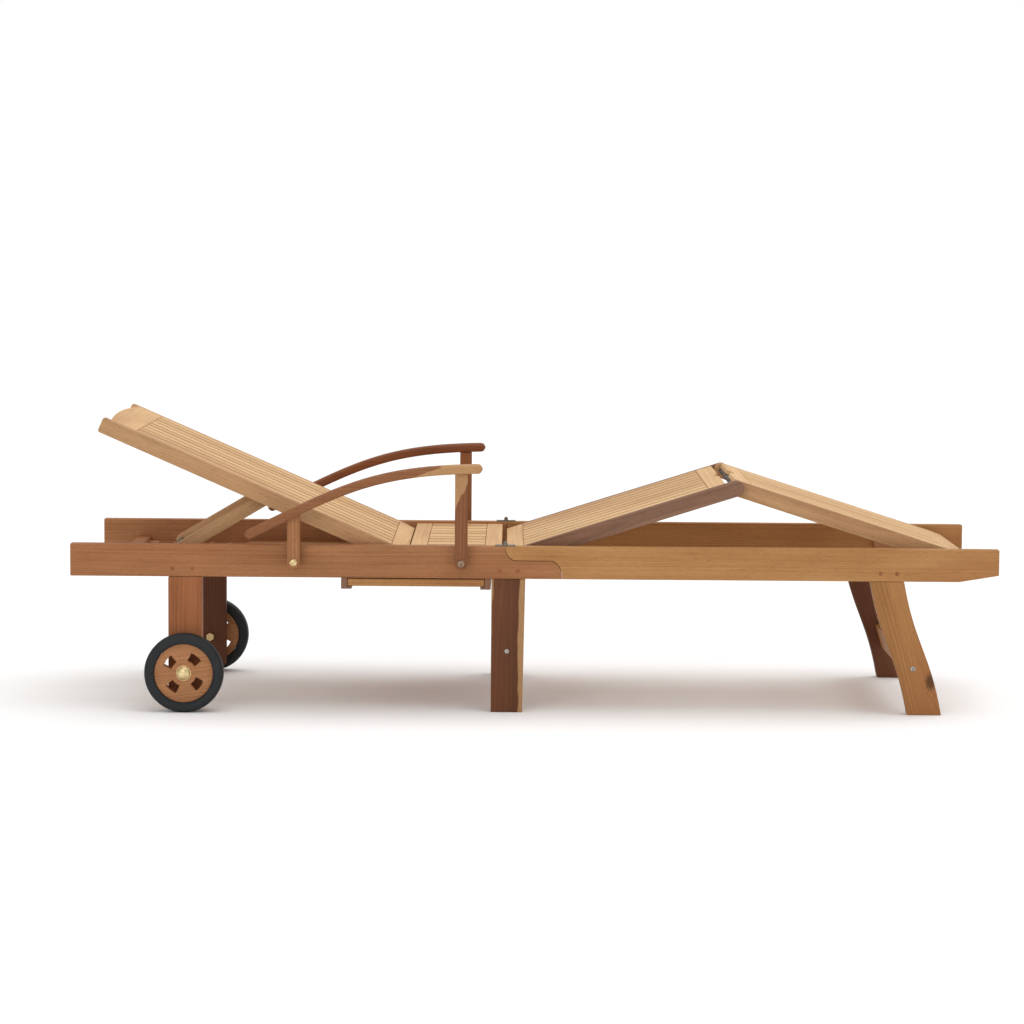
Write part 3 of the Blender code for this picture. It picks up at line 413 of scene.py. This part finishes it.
def piece(name, solids, material, body, stands=(), axes=upright):
    # One object of one or more solids, in place, riding on its body.
    points = np.vstack([solid["points"] for solid in solids])
    starts = np.cumsum([0] + [len(solid["points"]) for solid in solids])
    faces = []
    for solid, start in zip(solids, starts):
        faces += [[i + start for i in face] for face in solid["faces"]]
    mesh = bpy.data.meshes.new(name)
    mesh.from_pydata((points @ axes[:3, :3].T + axes[:3, 3]).tolist(), [], faces)
    for key, kind in attributes.items():
        if key in solids[0]:
            values = np.concatenate([solid[key] for solid in solids]).astype(np.float32)
            mesh.attributes.new(key, kind, "POINT").data.foreach_set(
                "vector" if kind == "FLOAT_VECTOR" else "value", values.ravel()
            )
    mesh.shade_smooth()
    mesh.set_sharp_from_angle(angle=math.radians(38))
    mesh.materials.append(material)
    made = bpy.data.objects.new(name, mesh)
    scene.collection.objects.link(made)
    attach(made, body)
    if stands:
        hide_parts(*stands)


def pithOn(side, spot):
    # The pith's place in the board on this side, mirrored between the sides.
    return (spot[0], side * spot[1])


def dress(nodes, material):
    # Gives carried-over nodes one material.
    for node in nodes:
        frame["nodes"][node].data.materials.clear()
        frame["nodes"][node].data.materials.append(material)


sides = {"right": -1, "left": 1}
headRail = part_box("head_rail_right")
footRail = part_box("foot_rail_right")
railTop, railBottom = headRail[1].z, headRail[0].z
headEnd, footEnd = headRail[0].x, footRail[1].x
hinge = joints["foot_fold"]["pos_m"]


def facesOf(node):
    # A node's two faces across the lounger.
    low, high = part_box(node)
    return (low.y, high.y)


rails = {
    "edge": 0.0022, "scarfStart": 0.001, "hollow": 0.0255, "flat": 0.073, "round": 0.025, "deep": 0.031,
    "gap": 0.0005, "taper": 0.086, "rise": 0.014, "stations": 24, "beforeLap": 0.004, "pastLap": 0.01,
    "onSlope": 0.04, "headPith": (0.075, 0.030), "footPith": (-0.085, 0.028),
}


def scarf(gap):
    # The curved lap joint: a hollow quarter ellipse, a flat, then a round quarter ellipse.
    turns = np.linspace(0, math.pi / 2, 14)
    start = hinge[0] - rails["scarfStart"]
    level = railTop - rails["deep"]
    hollowX = start + rails["hollow"] - (rails["hollow"] - gap) * np.cos(turns)
    hollowZ = railTop - (rails["deep"] - gap) * np.sin(turns)
    bend = start + rails["hollow"] + rails["flat"]
    roundX = bend + (rails["round"] + gap) * np.sin(turns)
    roundZ = railBottom + (level - railBottom + gap) * np.cos(turns)
    return np.append(hollowX, roundX), np.append(hollowZ, roundZ)


for label, side in sides.items():
    node = f"head_rail_{label}"
    lapX, lapZ = scarf(0.0)
    straight = np.linspace(headEnd, lapX[0] - rails["beforeLap"], rails["stations"])
    high = np.append(np.full(len(straight), railTop), lapZ)
    rail = board("xzy", np.append(straight, lapX), railBottom, high, facesOf(node), rails["edge"], (1, 0),
                 pith=pithOn(side, rails["headPith"]))
    piece(node + "_board", [rail], woods["frame"], "head_frame", [node])
    node = f"foot_rail_{label}"
    lapX, lapZ = scarf(rails["gap"])
    slopeStart = footEnd - rails["taper"]
    straight = np.linspace(lapX[-1] + rails["pastLap"], slopeStart, rails["stations"] - 2)
    x = np.concatenate([straight, [footEnd - rails["onSlope"], footEnd]])
    slope = np.clip((x - slopeStart) / rails["taper"], 0, 1) * rails["rise"]
    low = np.append(lapZ, railBottom + slope)
    rail = board("xzy", np.append(lapX, x), low, railTop, facesOf(node), rails["edge"], (0, 1),
                 pith=pithOn(side, rails["footPith"]))
    piece(node + "_board", [rail], woods["foot"], "foot_frame", [node])
print("rails made")

legs = {
    "edge": 0.0022, "corner": 0.012, "taper": 0.005, "shift": 0.085, "sway": 0.05, "sapCentre": 0.038,
    "cornerTop": 0.05, "headPith": (0.05, 0.02), "footPith": (0.06, 0.02), "footTurn": -16,
    "centrePith": (0.006, 0.012), "centreTurn": 0.8, "crossEdge": 0.002,
}
footKnot = {"knot": (0.074, 0.857), "knotSize": 1.7}

for label, side in sides.items():
    low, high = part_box(f"head_leg_{label}")
    corner = legs["corner"]
    turns = np.linspace(0, math.pi / 2, 8)
    z = np.append(low.z + corner * (1 - np.cos(turns)), np.linspace(legs["cornerTop"], high.z, 12))
    back = np.clip(low.z + corner - z, 0, 1)
    inset = corner - np.sqrt(np.clip(corner ** 2 - back ** 2, 0, 1))
    leg = board("zxy", z, low.x + inset, high.x - inset, (low.y, high.y), legs["edge"], (0, 1),
                pith=pithOn(side, legs["headPith"]))
    # The far head leg takes the darkest teak as painted shade.
    wood = woods["legs" if side < 0 else "core"]
    piece(f"head_leg_{label}_post", [leg], wood, "head_frame", [f"head_leg_{label}"])
    low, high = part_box(f"centre_leg_{label}")
    z = np.linspace(low.z, high.z, 14)
    edges = high.x - legs["taper"] * (1 - (z - low.z) / (high.z - low.z))
    leg = board("zxy", z, low.x, edges, (low.y, high.y), legs["edge"],
                pith=pithOn(side, legs["centrePith"]), sap=legs["sapCentre"], turn=legs["centreTurn"])
    node = f"centre_leg_{label}"
    piece(node + "_post", [leg], woods["core"], "head_frame", [node])
    low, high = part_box(f"foot_leg_{label}")
    z = np.linspace(low.z, high.z, 26)
    down = (high.z - z) / (high.z - low.z)
    edges = low.x + legs["shift"] * (down - legs["sway"] * np.sin(2 * math.pi * down))
    width = high.x - low.x - legs["shift"]
    leg = board("zxy", z, edges, edges + width, (low.y, high.y), legs["edge"],
                pith=pithOn(side, legs["footPith"]), turn=legs["footTurn"], **(footKnot if side < 0 else {}))
    # The far foot leg takes the darkest teak as painted shade.
    wood = woods["foot" if side < 0 else "core"]
    piece(f"foot_leg_{label}_post", [leg], wood, "foot_frame", [f"foot_leg_{label}"])

crossPieces = {
    "centre_stretcher": ("legs", "head_frame", "teak_legs"),
    "head_cross_rail": ("frame", "head_frame", "teak_frame"),
    "seat_cross_rail": ("frame", "head_frame", "teak_frame"),
    "foot_cross_rail": ("foot", "foot_frame", "teak_foot"),
}
for node, (wood, body, slotName) in crossPieces.items():
    low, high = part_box(node)
    rail = board("yzx", np.linspace(low.y, high.y, 12), low.z, high.z, (low.x, high.x), legs["crossEdge"])
    piece(node + "_board", [rail], woods[wood], body, [node])

lean = -math.degrees(math.atan2(legs["shift"], railBottom))
low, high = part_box("foot_stretcher")
leaning = space(((low.x + high.x) / 2, 0, (low.z + high.z) / 2), lean)
low, high = localBox("foot_stretcher", leaning)
y = np.linspace(low[1], high[1], 12)
rail = board("yzx", y, low[2], high[2], (low[0], high[0]), legs["crossEdge"])
piece("foot_stretcher_board", [rail], woods["foot"], "foot_frame", ["foot_stretcher"], leaning)
print("legs made")

backTilt = -joints["backrest_recline"]["range_deg"][0]
thighTilt = joints["thigh_raise"]["range_deg"][0]
backSpace = space(joints["backrest_recline"]["pos_m"], backTilt)
thighSpace = space(joints["thigh_raise"]["pos_m"], thighTilt)
calfSpace = space(joints["knee_bend"]["pos_m"], -thighTilt)
decks = {
    "back": {"axes": backSpace, "body": "backrest", "boards": (0.0705, 0.038), "arch": 0.012},
    "seat": {"axes": upright, "body": "head_frame", "boards": (0.036, 0.036)},
    "thigh": {"axes": thighSpace, "body": "thigh_panel", "boards": (0.038, 0.038), "notch": (0, 0.009)},
    "calf": {"axes": calfSpace, "body": "calf_panel", "boards": (0.038, 0.055), "notch": (0.015, 0)},
}
slats = {
    "count": 9, "gap": 0.0096, "edge": 0.0016, "shade": 0.0009, "joint": 0.0004, "notchHalf": 0.05,
    "rounding": 0.0018, "squareCorner": 0.005,
}
sideBars = {
    "back_side_rail": (backSpace, "backrest", "bars"),
    "thigh_side_rail": (thighSpace, "thigh_panel", "thigh"),
    "calf_side_rail": (calfSpace, "calf_panel", "bars"),
}


def roundStations(start, end, half, corner, count=14, middle=16):
    # Stations along a bar, close together where its ends turn, and the bar's half height at
    # each: half, less, near either end, corner minus the root of corner squared less the way
    # back squared.
    turns = np.linspace(0.06, math.pi / 2, count)
    near = start + corner * (1 - np.cos(turns))
    far = end - half * (1 - np.cos(turns))
    x = np.concatenate([near, np.linspace(near[-1], far[-1], middle)[1:-1], far[::-1]])
    backNear = np.clip(start + corner - x, 0, corner)
    backFar = np.clip(x - (end - half), 0, half)
    nearLoss = corner - np.sqrt(corner ** 2 - backNear ** 2)
    farLoss = half - np.sqrt(half ** 2 - backFar ** 2)
    return x, half - nearLoss - farLoss


def paintedGapShadeOf(points, low, high, top):
    # Painted shade in the gap beside a slat: how far a point is down in that gap, 0 on the
    # upper face, 1 on the slat's sides from slats["shade"] below that face.
    depth = np.clip((top - points[:, 2]) / slats["shade"], 0, 1)
    beside = np.minimum(points[:, 1] - low, high - points[:, 1]) < slats["edge"]
    return depth * beside


def makeDeck(name, deck):
    # Two cross boards and nine slats, each its own board.
    node = f"{name}_deck"
    low, high = localBox(node, deck["axes"])
    thick = (low[2], high[2])
    half = high[1]
    y = np.linspace(-half, half, 61)
    hollow = np.cos(np.clip(y / slats["notchHalf"], -1, 1) * math.pi / 2)
    notch = [depth * hollow for depth in deck.get("notch", (0, 0))]
    first, last = low[0] + deck["boards"][0], high[0] - deck["boards"][1]
    bow = deck.get("arch", 0) * (y / half) ** 2
    joint = slats["joint"]
    headBoard = board("yxz", y, low[0] + bow + notch[0], first - joint, thick, slats["edge"])
    footBoard = board("yxz", y, last + joint, high[0] - notch[1], thick, slats["edge"])
    wide = (2 * half - (slats["count"] - 1) * slats["gap"]) / slats["count"]
    strips = []
    for i in range(slats["count"]):
        edge = -half + i * (wide + slats["gap"])
        x = np.linspace(first + joint, last - joint, 8)
        strip = board("xyz", x, edge, edge + wide, thick, slats["edge"])
        # Painted shade on this slat's sides down in the gaps.
        strip["shelter"] = paintedGapShadeOf(strip["points"], edge, edge + wide, thick[1])
        strips.append(strip)
    boards = {"upper_board": [headBoard], "lower_board": [footBoard], "slats": strips}
    for part, solids in boards.items():
        piece(f"{name}_{part}", solids, woods["slats"], deck["body"], [node], deck["axes"])


for name, deck in decks.items():
    makeDeck(name, deck)
for stem, (axes, body, wood) in sideBars.items():
    for label, side in sides.items():
        node = f"{stem}_{label}"
        low, high = localBox(node, axes)
        half = (high[2] - low[2]) / 2
        corner = slats["squareCorner"] if stem == "back_side_rail" else half
        x, halves = roundStations(low[0], high[0], half, corner)
        bar = board("xzy", x, -halves, halves, (low[1], high[1]), slats["rounding"], (0, 0))
        piece(node + "_bar", [bar], woods[wood], body, [node], axes)

propPivot = joints["prop_swing"]["pos_m"]
rodLow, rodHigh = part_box("prop_rod")
fall = math.atan2(propPivot[2] - (rodLow.z + rodHigh.z) / 2, propPivot[0] - (rodLow.x + rodHigh.x) / 2)
propSpace = space(propPivot, -math.degrees(fall))
for label, side in sides.items():
    node = f"prop_arm_{label}"
    low, high = localBox(node, propSpace)
    half = (high[2] - low[2]) / 2
    x, halves = roundStations(low[0], high[0], half, half)
    bar = board("xzy", x, -halves, halves, (low[1], high[1]), slats["rounding"], (0, 0))
    piece(node + "_bar", [bar], woods["bars"], "prop", [node], propSpace)
print("panels made")

arms = {
    "long": 0.512, "thick": 0.019, "rear": 0.030, "front": 0.179, "pull": (0.39, 0.66), "ease": (0.53, 0.98),
    "tip": 0.018, "edge": 0.006, "leastHalf": 0.0025, "leastTall": 0.0022,
    "post": 0.022, "postEdge": 0.0022, "sunk": 0.0005, "spacer": 0.0115, "spacerEdge": 0.0012,
    "spacerBore": 0.004, "boltDrop": 0.0345, "armPith": (-0.16, -0.022), "postPith": (-0.06, -0.011),
}
nearSapwood = {"arm": {"sap": 0.1565, "slant": -0.438}, "post": {"sap": 0.0835, "slant": -0.4355}}


def armLine(start):
    # The arm's top line, a cubic curve on four guide points, and the way up from it.
    rise, long = arms["front"] - arms["rear"], arms["long"]
    guides = np.array([
        (start, railTop + arms["rear"]),
        (start + arms["pull"][0] * long, railTop + arms["rear"] + arms["pull"][1] * rise),
        (start + arms["ease"][0] * long, railTop + arms["rear"] + arms["ease"][1] * rise),
        (start + long, railTop + arms["front"]),
    ])
    t = np.concatenate([np.linspace(0, 0.04, 9), np.linspace(0.07, 0.93, 30), np.linspace(0.96, 1, 9)])
    s = 1 - t
    line = np.stack([s ** 3, 3 * s * s * t, 3 * s * t * t, t ** 3], 1) @ guides
    slope = np.stack([-3 * s * s, 3 * s * s - 6 * s * t, 6 * s * t - 3 * t * t, 3 * t * t], 1) @ guides
    slope /= np.linalg.norm(slope, axis=1)[:, None]
    return line, np.stack([-slope[:, 1], slope[:, 0]], 1)


for label, side in sides.items():
    node = f"armrest_{label}"
    low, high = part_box(node)
    line, rise = armLine(low.x)
    half = arms["thick"] / 2
    middle = line - half * rise
    count = len(line)
    centre = np.stack([middle[:, 0], np.full(count, (low.y + high.y) / 2), middle[:, 1]], 1)
    up = np.stack([rise[:, 0], np.zeros(count), rise[:, 1]], 1)
    across = np.repeat([[0.0, 1.0, 0.0]], count, 0)
    travel = np.append(0, np.cumsum(np.linalg.norm(np.diff(middle, axis=0), axis=1)))
    back = np.clip(arms["tip"] - np.minimum(travel, travel[-1] - travel), 0, arms["tip"])
    inset = arms["tip"] - np.sqrt(np.clip(arms["tip"] ** 2 - back ** 2, 0, None))
    wide = (high.y - low.y) / 2 - np.minimum(inset, arms["tip"] - arms["leastHalf"])
    back = np.clip(half - np.minimum(travel, travel[-1] - travel), 0, half)
    tall = np.maximum(np.sqrt(np.clip(half ** 2 - back ** 2, 0, None)), arms["leastTall"])
    sapwood = nearSapwood["arm"] if side < 0 else {}
    arm = swept(centre, up, across, tall, wide, arms["edge"], (0, 0), [0, 2, 1],
                pith=pithOn(side, arms["armPith"]), **sapwood)
    wood = woods["arms" if side < 0 else "farArm"]
    piece(node + "_plank", [arm], wood, "head_frame", [node])
    for place in ("rear", "front"):
        node = f"{place}_arm_post_{label}"
        low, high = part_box(node)
        outer = high.y if side > 0 else low.y
        inner = outer - side * arms["post"]
        half = (high.x - low.x) / 2
        foot = low.z + half * (1 - np.cos(np.linspace(0.06, math.pi / 2, 12)))
        top = np.linspace(foot[-1] + 0.004, high.z - 0.001, 14)
        z = np.append(foot, top)
        reach = np.sqrt(np.clip(half ** 2 - np.clip(low.z + half - z, 0, None) ** 2, 0, None))
        x = (low.x + high.x) / 2
        sapwood = nearSapwood["post"] if (place, label) == ("front", "right") else {}
        post = board("zxy", z, x - reach, x + reach, tuple(sorted((inner, outer))), arms["postEdge"], (0, 0),
                     pith=pithOn(side, arms["postPith"]), **sapwood)
        under = line - arms["thick"] * rise
        slant = np.interp(post["points"][:, 0], under[:, 0], under[:, 1])
        post["points"][:, 2] = np.minimum(post["points"][:, 2], slant + arms["sunk"])
        radius, edge, bore = arms["spacer"], arms["spacerEdge"], arms["spacerBore"]
        railFace = abs(headRail[0].y)
        gap = abs(inner) - railFace
        profile = [(bore, 0, 0), (radius - edge, 0, 0), (radius, edge, 0), (radius, gap - edge, 0),
                   (radius - edge, gap, 0), (bore, gap, 0)]
        spacer = turned(profile, (x, side * railFace, railTop - arms["boltDrop"]), side)
        spacer.update(figure(spacer["points"], [1, 0, 2], (0.01, 0.01)))
        wood = woods["frame" if place == "rear" else "arms"]
        piece(node + "_board", [post, spacer], wood, "head_frame", [node])
print("armrests made")

trays = {
    "slats": 5, "gap": 0.006, "endBoard": 0.045, "edge": 0.002, "joint": 0.0004, "raised": 0.001,
    "wall": 0.013, "wallEdge": 0.0015, "ledge": 0.0057, "ledgeEdge": 0.001,
}
low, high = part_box("tray")
thick = (low.z, high.z)
parts = []
for start in (low.y, high.y - trays["endBoard"]):
    x = np.linspace(low.x, high.x, 8)
    parts.append(board("xyz", x, start, start + trays["endBoard"], thick, trays["edge"]))
reach = trays["endBoard"] + trays["joint"]
y = np.linspace(low.y + reach, high.y - reach, 8)
wide = (high.x - low.x - (trays["slats"] - 1) * trays["gap"]) / trays["slats"]
for i in range(trays["slats"]):
    edge = low.x + i * (wide + trays["gap"])
    parts.append(board("yxz", y, edge, edge + wide, (low.z + trays["raised"], high.z), trays["edge"]))
piece("tray_boards", parts, woods["foot"], "tray", ["tray"])
for node, sign in (("rear_tray_guide", -1), ("front_tray_guide", 1)):
    low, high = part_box(node)
    wall = (low.x, low.x + trays["wall"]) if sign < 0 else (high.x - trays["wall"], high.x)
    ledge = (wall[1], high.x) if sign < 0 else (low.x, wall[0])
    y = np.linspace(low.y, high.y, 10)
    strips = [
        board("yzx", y, low.z, high.z, wall, trays["wallEdge"]),
        board("yxz", y, *ledge, (low.z, low.z + trays["ledge"]), trays["ledgeEdge"]),
    ]
    piece(node + "_strips", strips, woods["thigh"], "head_frame", [node])
print("tray made")

wheels = {
    "corner": 0.009, "lip": 0.0016, "windows": 4, "in": 0.0275, "out": 0.0465, "spread": (20.5, 17),
    "turn": 52, "bore": 0.0066, "bevel": 0.0009, "discGap": 0.0003,
}


def tyreSolid(low, high, inner):
    # A ring of rubber: its section goes up the inside, over a raised lip and round the tread.
    x, z = (low.x + high.x) / 2, (low.z + high.z) / 2
    outer = (high.z - low.z) / 2
    half = (high.y - low.y) / 2
    corner = wheels["corner"]
    turns = np.linspace(0, math.pi / 2, 9)
    lip = wheels["lip"]
    rim = ((0.0, 0.004), (0.0006, lip), (0.0022, 0.0003), (0.0040, 0.0012), (0.0058, 0.0006))
    quarter = [(inner + out, half - down) for out, down in rim]
    quarter += [(outer - corner * (1 - math.sin(t)), half - corner * (1 - math.cos(t))) for t in turns]
    section = np.array(quarter + [(outer, 0.0)] + [(r, -h) for r, h in quarter[::-1]])
    angles = np.linspace(0, 2 * math.pi, 96, endpoint=False)[:, None]
    radius, height = section[:, 0][None, :], section[:, 1][None, :]
    u, v = radius * np.cos(angles), radius * np.sin(angles)
    rings = np.stack([x + u, np.broadcast_to((low.y + high.y) / 2 + height, u.shape), z + v], -1)
    points, faces = tube(rings, True)
    return {"points": points, "faces": faces}


def discOf(name, node):
    # The wooden disc: a flat curve with windows and a bore, its edges eased, made a mesh.
    low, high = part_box(node)
    x, z = (low.x + high.x) / 2, (low.z + high.z) / 2
    rim = (high.z - low.z) / 2
    eased = wheels["bevel"]
    curve = bpy.data.curves.new(name, "CURVE")
    curve.dimensions = "2D"
    curve.fill_mode = "BOTH"
    curve.bevel_depth = eased
    curve.bevel_resolution = 2
    curve.offset = -eased
    curve.extrude = (high.y - low.y) / 2 - eased

    def loop(radius, angles):
        return [(radius * math.cos(a), radius * math.sin(a)) for a in np.radians(angles)]

    def circle(radius, count):
        return loop(radius, np.linspace(0, 360, count, endpoint=False))

    loops = [circle(rim, 96), circle(wheels["bore"], 32)]
    for i in range(wheels["windows"]):
        middle = wheels["turn"] + 360 * i / wheels["windows"]
        near, far = (middle + spread * np.linspace(-1, 1, 9) for spread in wheels["spread"])
        loops.append(loop(wheels["in"], near) + loop(wheels["out"], far[::-1]))
    for points in loops:
        spline = curve.splines.new("POLY")
        spline.points.add(len(points) - 1)
        for point, (u, v) in zip(spline.points, points):
            point.co = (u, v, 0, 1)
        spline.use_cyclic_u = True
    flat = bpy.data.objects.new(name, curve)
    scene.collection.objects.link(flat)
    bpy.context.view_layer.update()
    mesh = bpy.data.meshes.new_from_object(flat.evaluated_get(bpy.context.evaluated_depsgraph_get()))
    bpy.data.objects.remove(flat)
    points = np.array([v.co for v in mesh.vertices])
    faces = [list(face.vertices) for face in mesh.polygons]
    merged, back = np.unique(np.round(points, 6), axis=0, return_inverse=True)
    faces = [[int(back[i]) for i in face] for face in faces]
    faces = [face for face in faces if len(set(face)) == len(face)]
    points = np.stack([x + merged[:, 0], (low.y + high.y) / 2 - merged[:, 2], z + merged[:, 1]], 1)
    return {"points": points, "faces": outward(points, faces)}


for label, side in sides.items():
    low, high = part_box(f"tyre_{label}")
    discLow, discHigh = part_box(f"wheel_disc_{label}")
    inner = (discHigh.z - discLow.z) / 2 + wheels["discGap"]
    body = f"wheel_{label}"
    piece(body + "_tyre", [tyreSolid(low, high, inner)], rubber, body, [f"tyre_{label}"])
    disc = discOf(f"disc_{label}", f"wheel_disc_{label}")
    disc.update(figure(disc["points"], [0, 2, 1], (0.10, 0.03), turn=8))
    piece(body + "_disc", [disc], woods["frame"], body, [f"wheel_disc_{label}"])
print("wheels made")

fixings = {
    "dome": 0.0165, "domeHeight": 0.009, "shank": 0.006, "nut": 0.0098, "nutHeight": 0.009, "head": 0.0085,
    "headHeight": 0.004, "armShank": 0.0038, "armShankLong": 0.058, "fit": 0.0002, "screwFit": 0.0001,
    "hollow": 0.0055, "hollowBore": 0.0046, "bevel": 0.0012,
    "screws": {"centre": (0.0052, "head_frame"), "foot": (0.0056, "foot_frame")},
    "screwHead": (0.0014, 0.0022, 0.0012),
}


def dome(radius, height, flange=0.0012, inset=0.0016, steps=12):
    # A domed cap's profile from its flat underside to its top: a flange with an eased rim,
    # then, inset from it, the dome as a quarter of an ellipse.
    turns = np.linspace(0, math.pi / 2 - 0.05, steps)
    rim = [(radius, 0.0, 0), (radius, flange * 0.6, 0), (radius - flange * 0.4, flange, 0),
           (radius - inset, flange, 0)]
    small = radius - inset - 0.0002
    return rim + [(small * math.cos(t), flange + (height - flange) * math.sin(t), 0) for t in turns]


def socketHead(radius, height, key=0.0028, deep=0.0022):
    # A button head with a hexagonal socket: its crown is an arc that ends where the flat top,
    # 0.45 of the head's radius, begins.
    flat = math.acos(0.45)
    profile = [(radius, 0.0, 0)]
    for angle in np.linspace(0, 1, 7) * flat:
        profile.append((radius * math.cos(angle), height * math.sin(angle) / math.sin(flat), 0))
    socket = [(key * 1.10, height, 1), (key, height - 0.0003, 1), (key, height - deep, 1)]
    return profile + socket + [(0.0003, height - deep - 0.0004, 0)]


for label, side in sides.items():
    low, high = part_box(f"axle_bolt_{label}")
    x, z = (low.x + high.x) / 2, (low.z + high.z) / 2
    discFace = max(abs(value) for value in facesOf(f"wheel_disc_{label}")) + fixings["fit"]
    length = discFace - min(abs(headRail[0].y), abs(headRail[1].y))
    # The profile starts in the nut's hollow end and goes out over its six sides to the shank.
    nut, bore, end = fixings["nut"], fixings["hollowBore"], -length - fixings["nutHeight"]
    hollow = [(0.0004, end + fixings["hollow"] + 0.0005, 0), (bore, end + fixings["hollow"], 0),
              (bore + 0.0006, end, 0)]
    flats = [(nut * 0.93, end, 0.6), (nut, end + fixings["bevel"], 1), (nut, -length - fixings["fit"], 1)]
    shank = hollow + flats + [(fixings["shank"], -length, 0), (fixings["shank"], -fixings["fit"], 0)]
    bolt = turned(shank + dome(fixings["dome"], fixings["domeHeight"]), (x, side * discFace, z), side, 48)
    piece(f"axle_bolt_{label}_turned", [bolt], brass, "head_frame", [f"axle_bolt_{label}"])
    for place, metal, slotName in (("rear", brass, "brass"), ("front", bronze, "steel")):
        node = f"{place}_arm_bolt_{label}"
        low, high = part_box(node)
        outer = max(abs(low.y), abs(high.y)) - fixings["headHeight"]
        thin, long = fixings["armShank"], fixings["armShankLong"]
        shank = [(0.0005, -long, 0), (thin, -long, 0), (thin, -fixings["fit"], 0)]
        bolt = turned(shank + socketHead(fixings["head"], fixings["headHeight"]),
                      ((low.x + high.x) / 2, side * outer, (low.z + high.z) / 2), side, 48)
        piece(f"{place}_arm_bolt_{label}_turned", [bolt], metal, "head_frame", [node])

for label, side in sides.items():
    face = side * (abs(headRail[0].y) + fixings["screwFit"])
    for leg, (radius, body) in fixings["screws"].items():
        low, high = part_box(f"{leg}_stretcher")
        spot = ((low.x + high.x) / 2, face, (low.z + high.z) / 2)
        head = turned(socketHead(radius, *fixings["screwHead"]), spot, side, 36)
        piece(f"{leg}_leg_screw_{label}", [head], steel, body)

# The rods take dark steel; on the knee rod, seen in the gap between the thigh and calf decks, the dark is
# partly painted shade.
dress(("back_pivot_rod", "prop_pivot_rod", "prop_rod", "thigh_pivot_rod", "knee_rod", "foot_rod"), darkSteel)
dress([f"{half}_hinge_leaf_{label}" for half in ("head", "foot") for label in sides], zinc)
print("metal made")


def objectTeak(name, tones):
    # Teak for the plain notched strips, whose grain runs along the lounger.
    sheet = Sheet(name, Specular_IOR_Level=0.35)
    place = sheet.add("ShaderNodeTexCoord", {}, {}, 3)
    bands = sheet.noise(place, 1.0, 3.0, 0.6, (6, 160, 160))
    fibre = sheet.noise(place, 1.0, 3.0, 0.6, (12, 620, 620))
    stops = [(0.2, tones["dark"]), (0.8, tones["light"]), (0.5, tones["mid"])]
    colour = sheet.add("ShaderNodeValToRGB", {"stops": stops}, {0: bands * 0.7 + fibre * 0.3})
    roughness = 0.45 + fibre * 0.2
    return sheet.finish(Base_Color=colour, Roughness=roughness, Normal=sheet.bump(fibre, 0.3, 0.0005))


strips = [f"{stem}_ratchet_{label}" for stem in ("prop", "foot") for label in sides]
dress(strips, objectTeak("teak_strips", teak["frame"]))

plugs = {"radius": 0.0043, "proud": 0.0003, "drop": 0.053, "sunk": 0.002, "eased": 0.0003, "rounded": 0.0004}
plugPlaces = {
    "head_frame": [-0.780, -0.737, -0.0753, -0.0364],
    "foot_frame": [0.7446, 0.7804],
}
for body, places in plugPlaces.items():
    for label, side in sides.items():
        solids = []
        radius, centre = plugs["radius"], 0.0003
        top = plugs["sunk"] + plugs["proud"]
        profile = [(centre, 0, 0), (radius, 0, 0), (radius, top - plugs["eased"], 0),
                   (radius - plugs["rounded"], top, 0), (centre, top, 0)]
        for x in places:
            spot = (x, side * (abs(headRail[0].y) - plugs["sunk"]), railTop - plugs["drop"])
            solid = turned(profile, spot, side, 24)
            solid.update(figure(solid["points"], [1, 0, 2], (0.002, 0.001)))
            solid["tone"] *= 0.1
            solids.append(solid)
        piece(f"plugs_{body}_{label}", solids, woods["legs"], body)
print("plugs made")

studio = {
    "floor": 0.97, "radius": 60.0, "sky": 0.66,
    "sun": {"from": (0.30, 0.15, 1.0), "strength": 1.55, "softness": 1.25},
    "fill": {"place": (-2.2, -5.6, 2.4), "target": (0, 0, 0.3), "size": (3.0, 2.2), "power": 46},
}


def paleFloor():
    # A wide flat disc: points on one circle.
    turns = np.linspace(0, 2 * math.pi, 96, endpoint=False)
    points = studio["radius"] * np.stack([np.cos(turns), np.sin(turns), np.zeros(len(turns))], 1)
    mesh = bpy.data.meshes.new("studio_floor")
    mesh.from_pydata(points.tolist(), [], [list(range(len(points)))])
    paint = Sheet("paleFloor", Roughness=0.9, Specular_IOR_Level=0.0)
    paint.finish(Base_Color=rgb((studio["floor"],) * 3))
    mesh.materials.append(paint.material)
    floor = bpy.data.objects.new("studio_floor", mesh)
    scene.collection.objects.link(floor)


def shine(lamp, place, heading):
    # Hangs a lamp at a place, shining along heading.
    made = bpy.data.objects.new(lamp.name, lamp)
    turn = Vector(heading).to_track_quat("-Z", "Y").to_matrix().to_4x4()
    made.matrix_world = Matrix.Translation(place) @ turn
    scene.collection.objects.link(made)


paleFloor()
sun = bpy.data.lights.new("soft_sun", "SUN")
sun.energy = studio["sun"]["strength"]
sun.angle = studio["sun"]["softness"]
shine(sun, (0, 0, 3), [-value for value in studio["sun"]["from"]])
fill = bpy.data.lights.new("front_fill", "AREA")
fill.shape = "RECTANGLE"
fill.size, fill.size_y = studio["fill"]["size"]
fill.energy = studio["fill"]["power"]
aim = np.array(studio["fill"]["target"]) - np.array(studio["fill"]["place"])
shine(fill, studio["fill"]["place"], aim.tolist())
world = bpy.data.worlds.new("studio")
world.use_nodes = True
sky = world.node_tree
seen = sky.nodes.new("ShaderNodeLightPath")
blend = sky.nodes.new("ShaderNodeMix")
blend.data_type = "FLOAT"
sky.links.new(seen.outputs["Is Camera Ray"], blend.inputs[0])
blend.inputs[2].default_value = studio["sky"]
blend.inputs[3].default_value = 1.0
sky.links.new(blend.outputs[0], sky.nodes["Background"].inputs["Strength"])
sky.nodes["Background"].inputs["Color"].default_value = (1, 1, 1, 1)
scene.world = world
print("studio made")
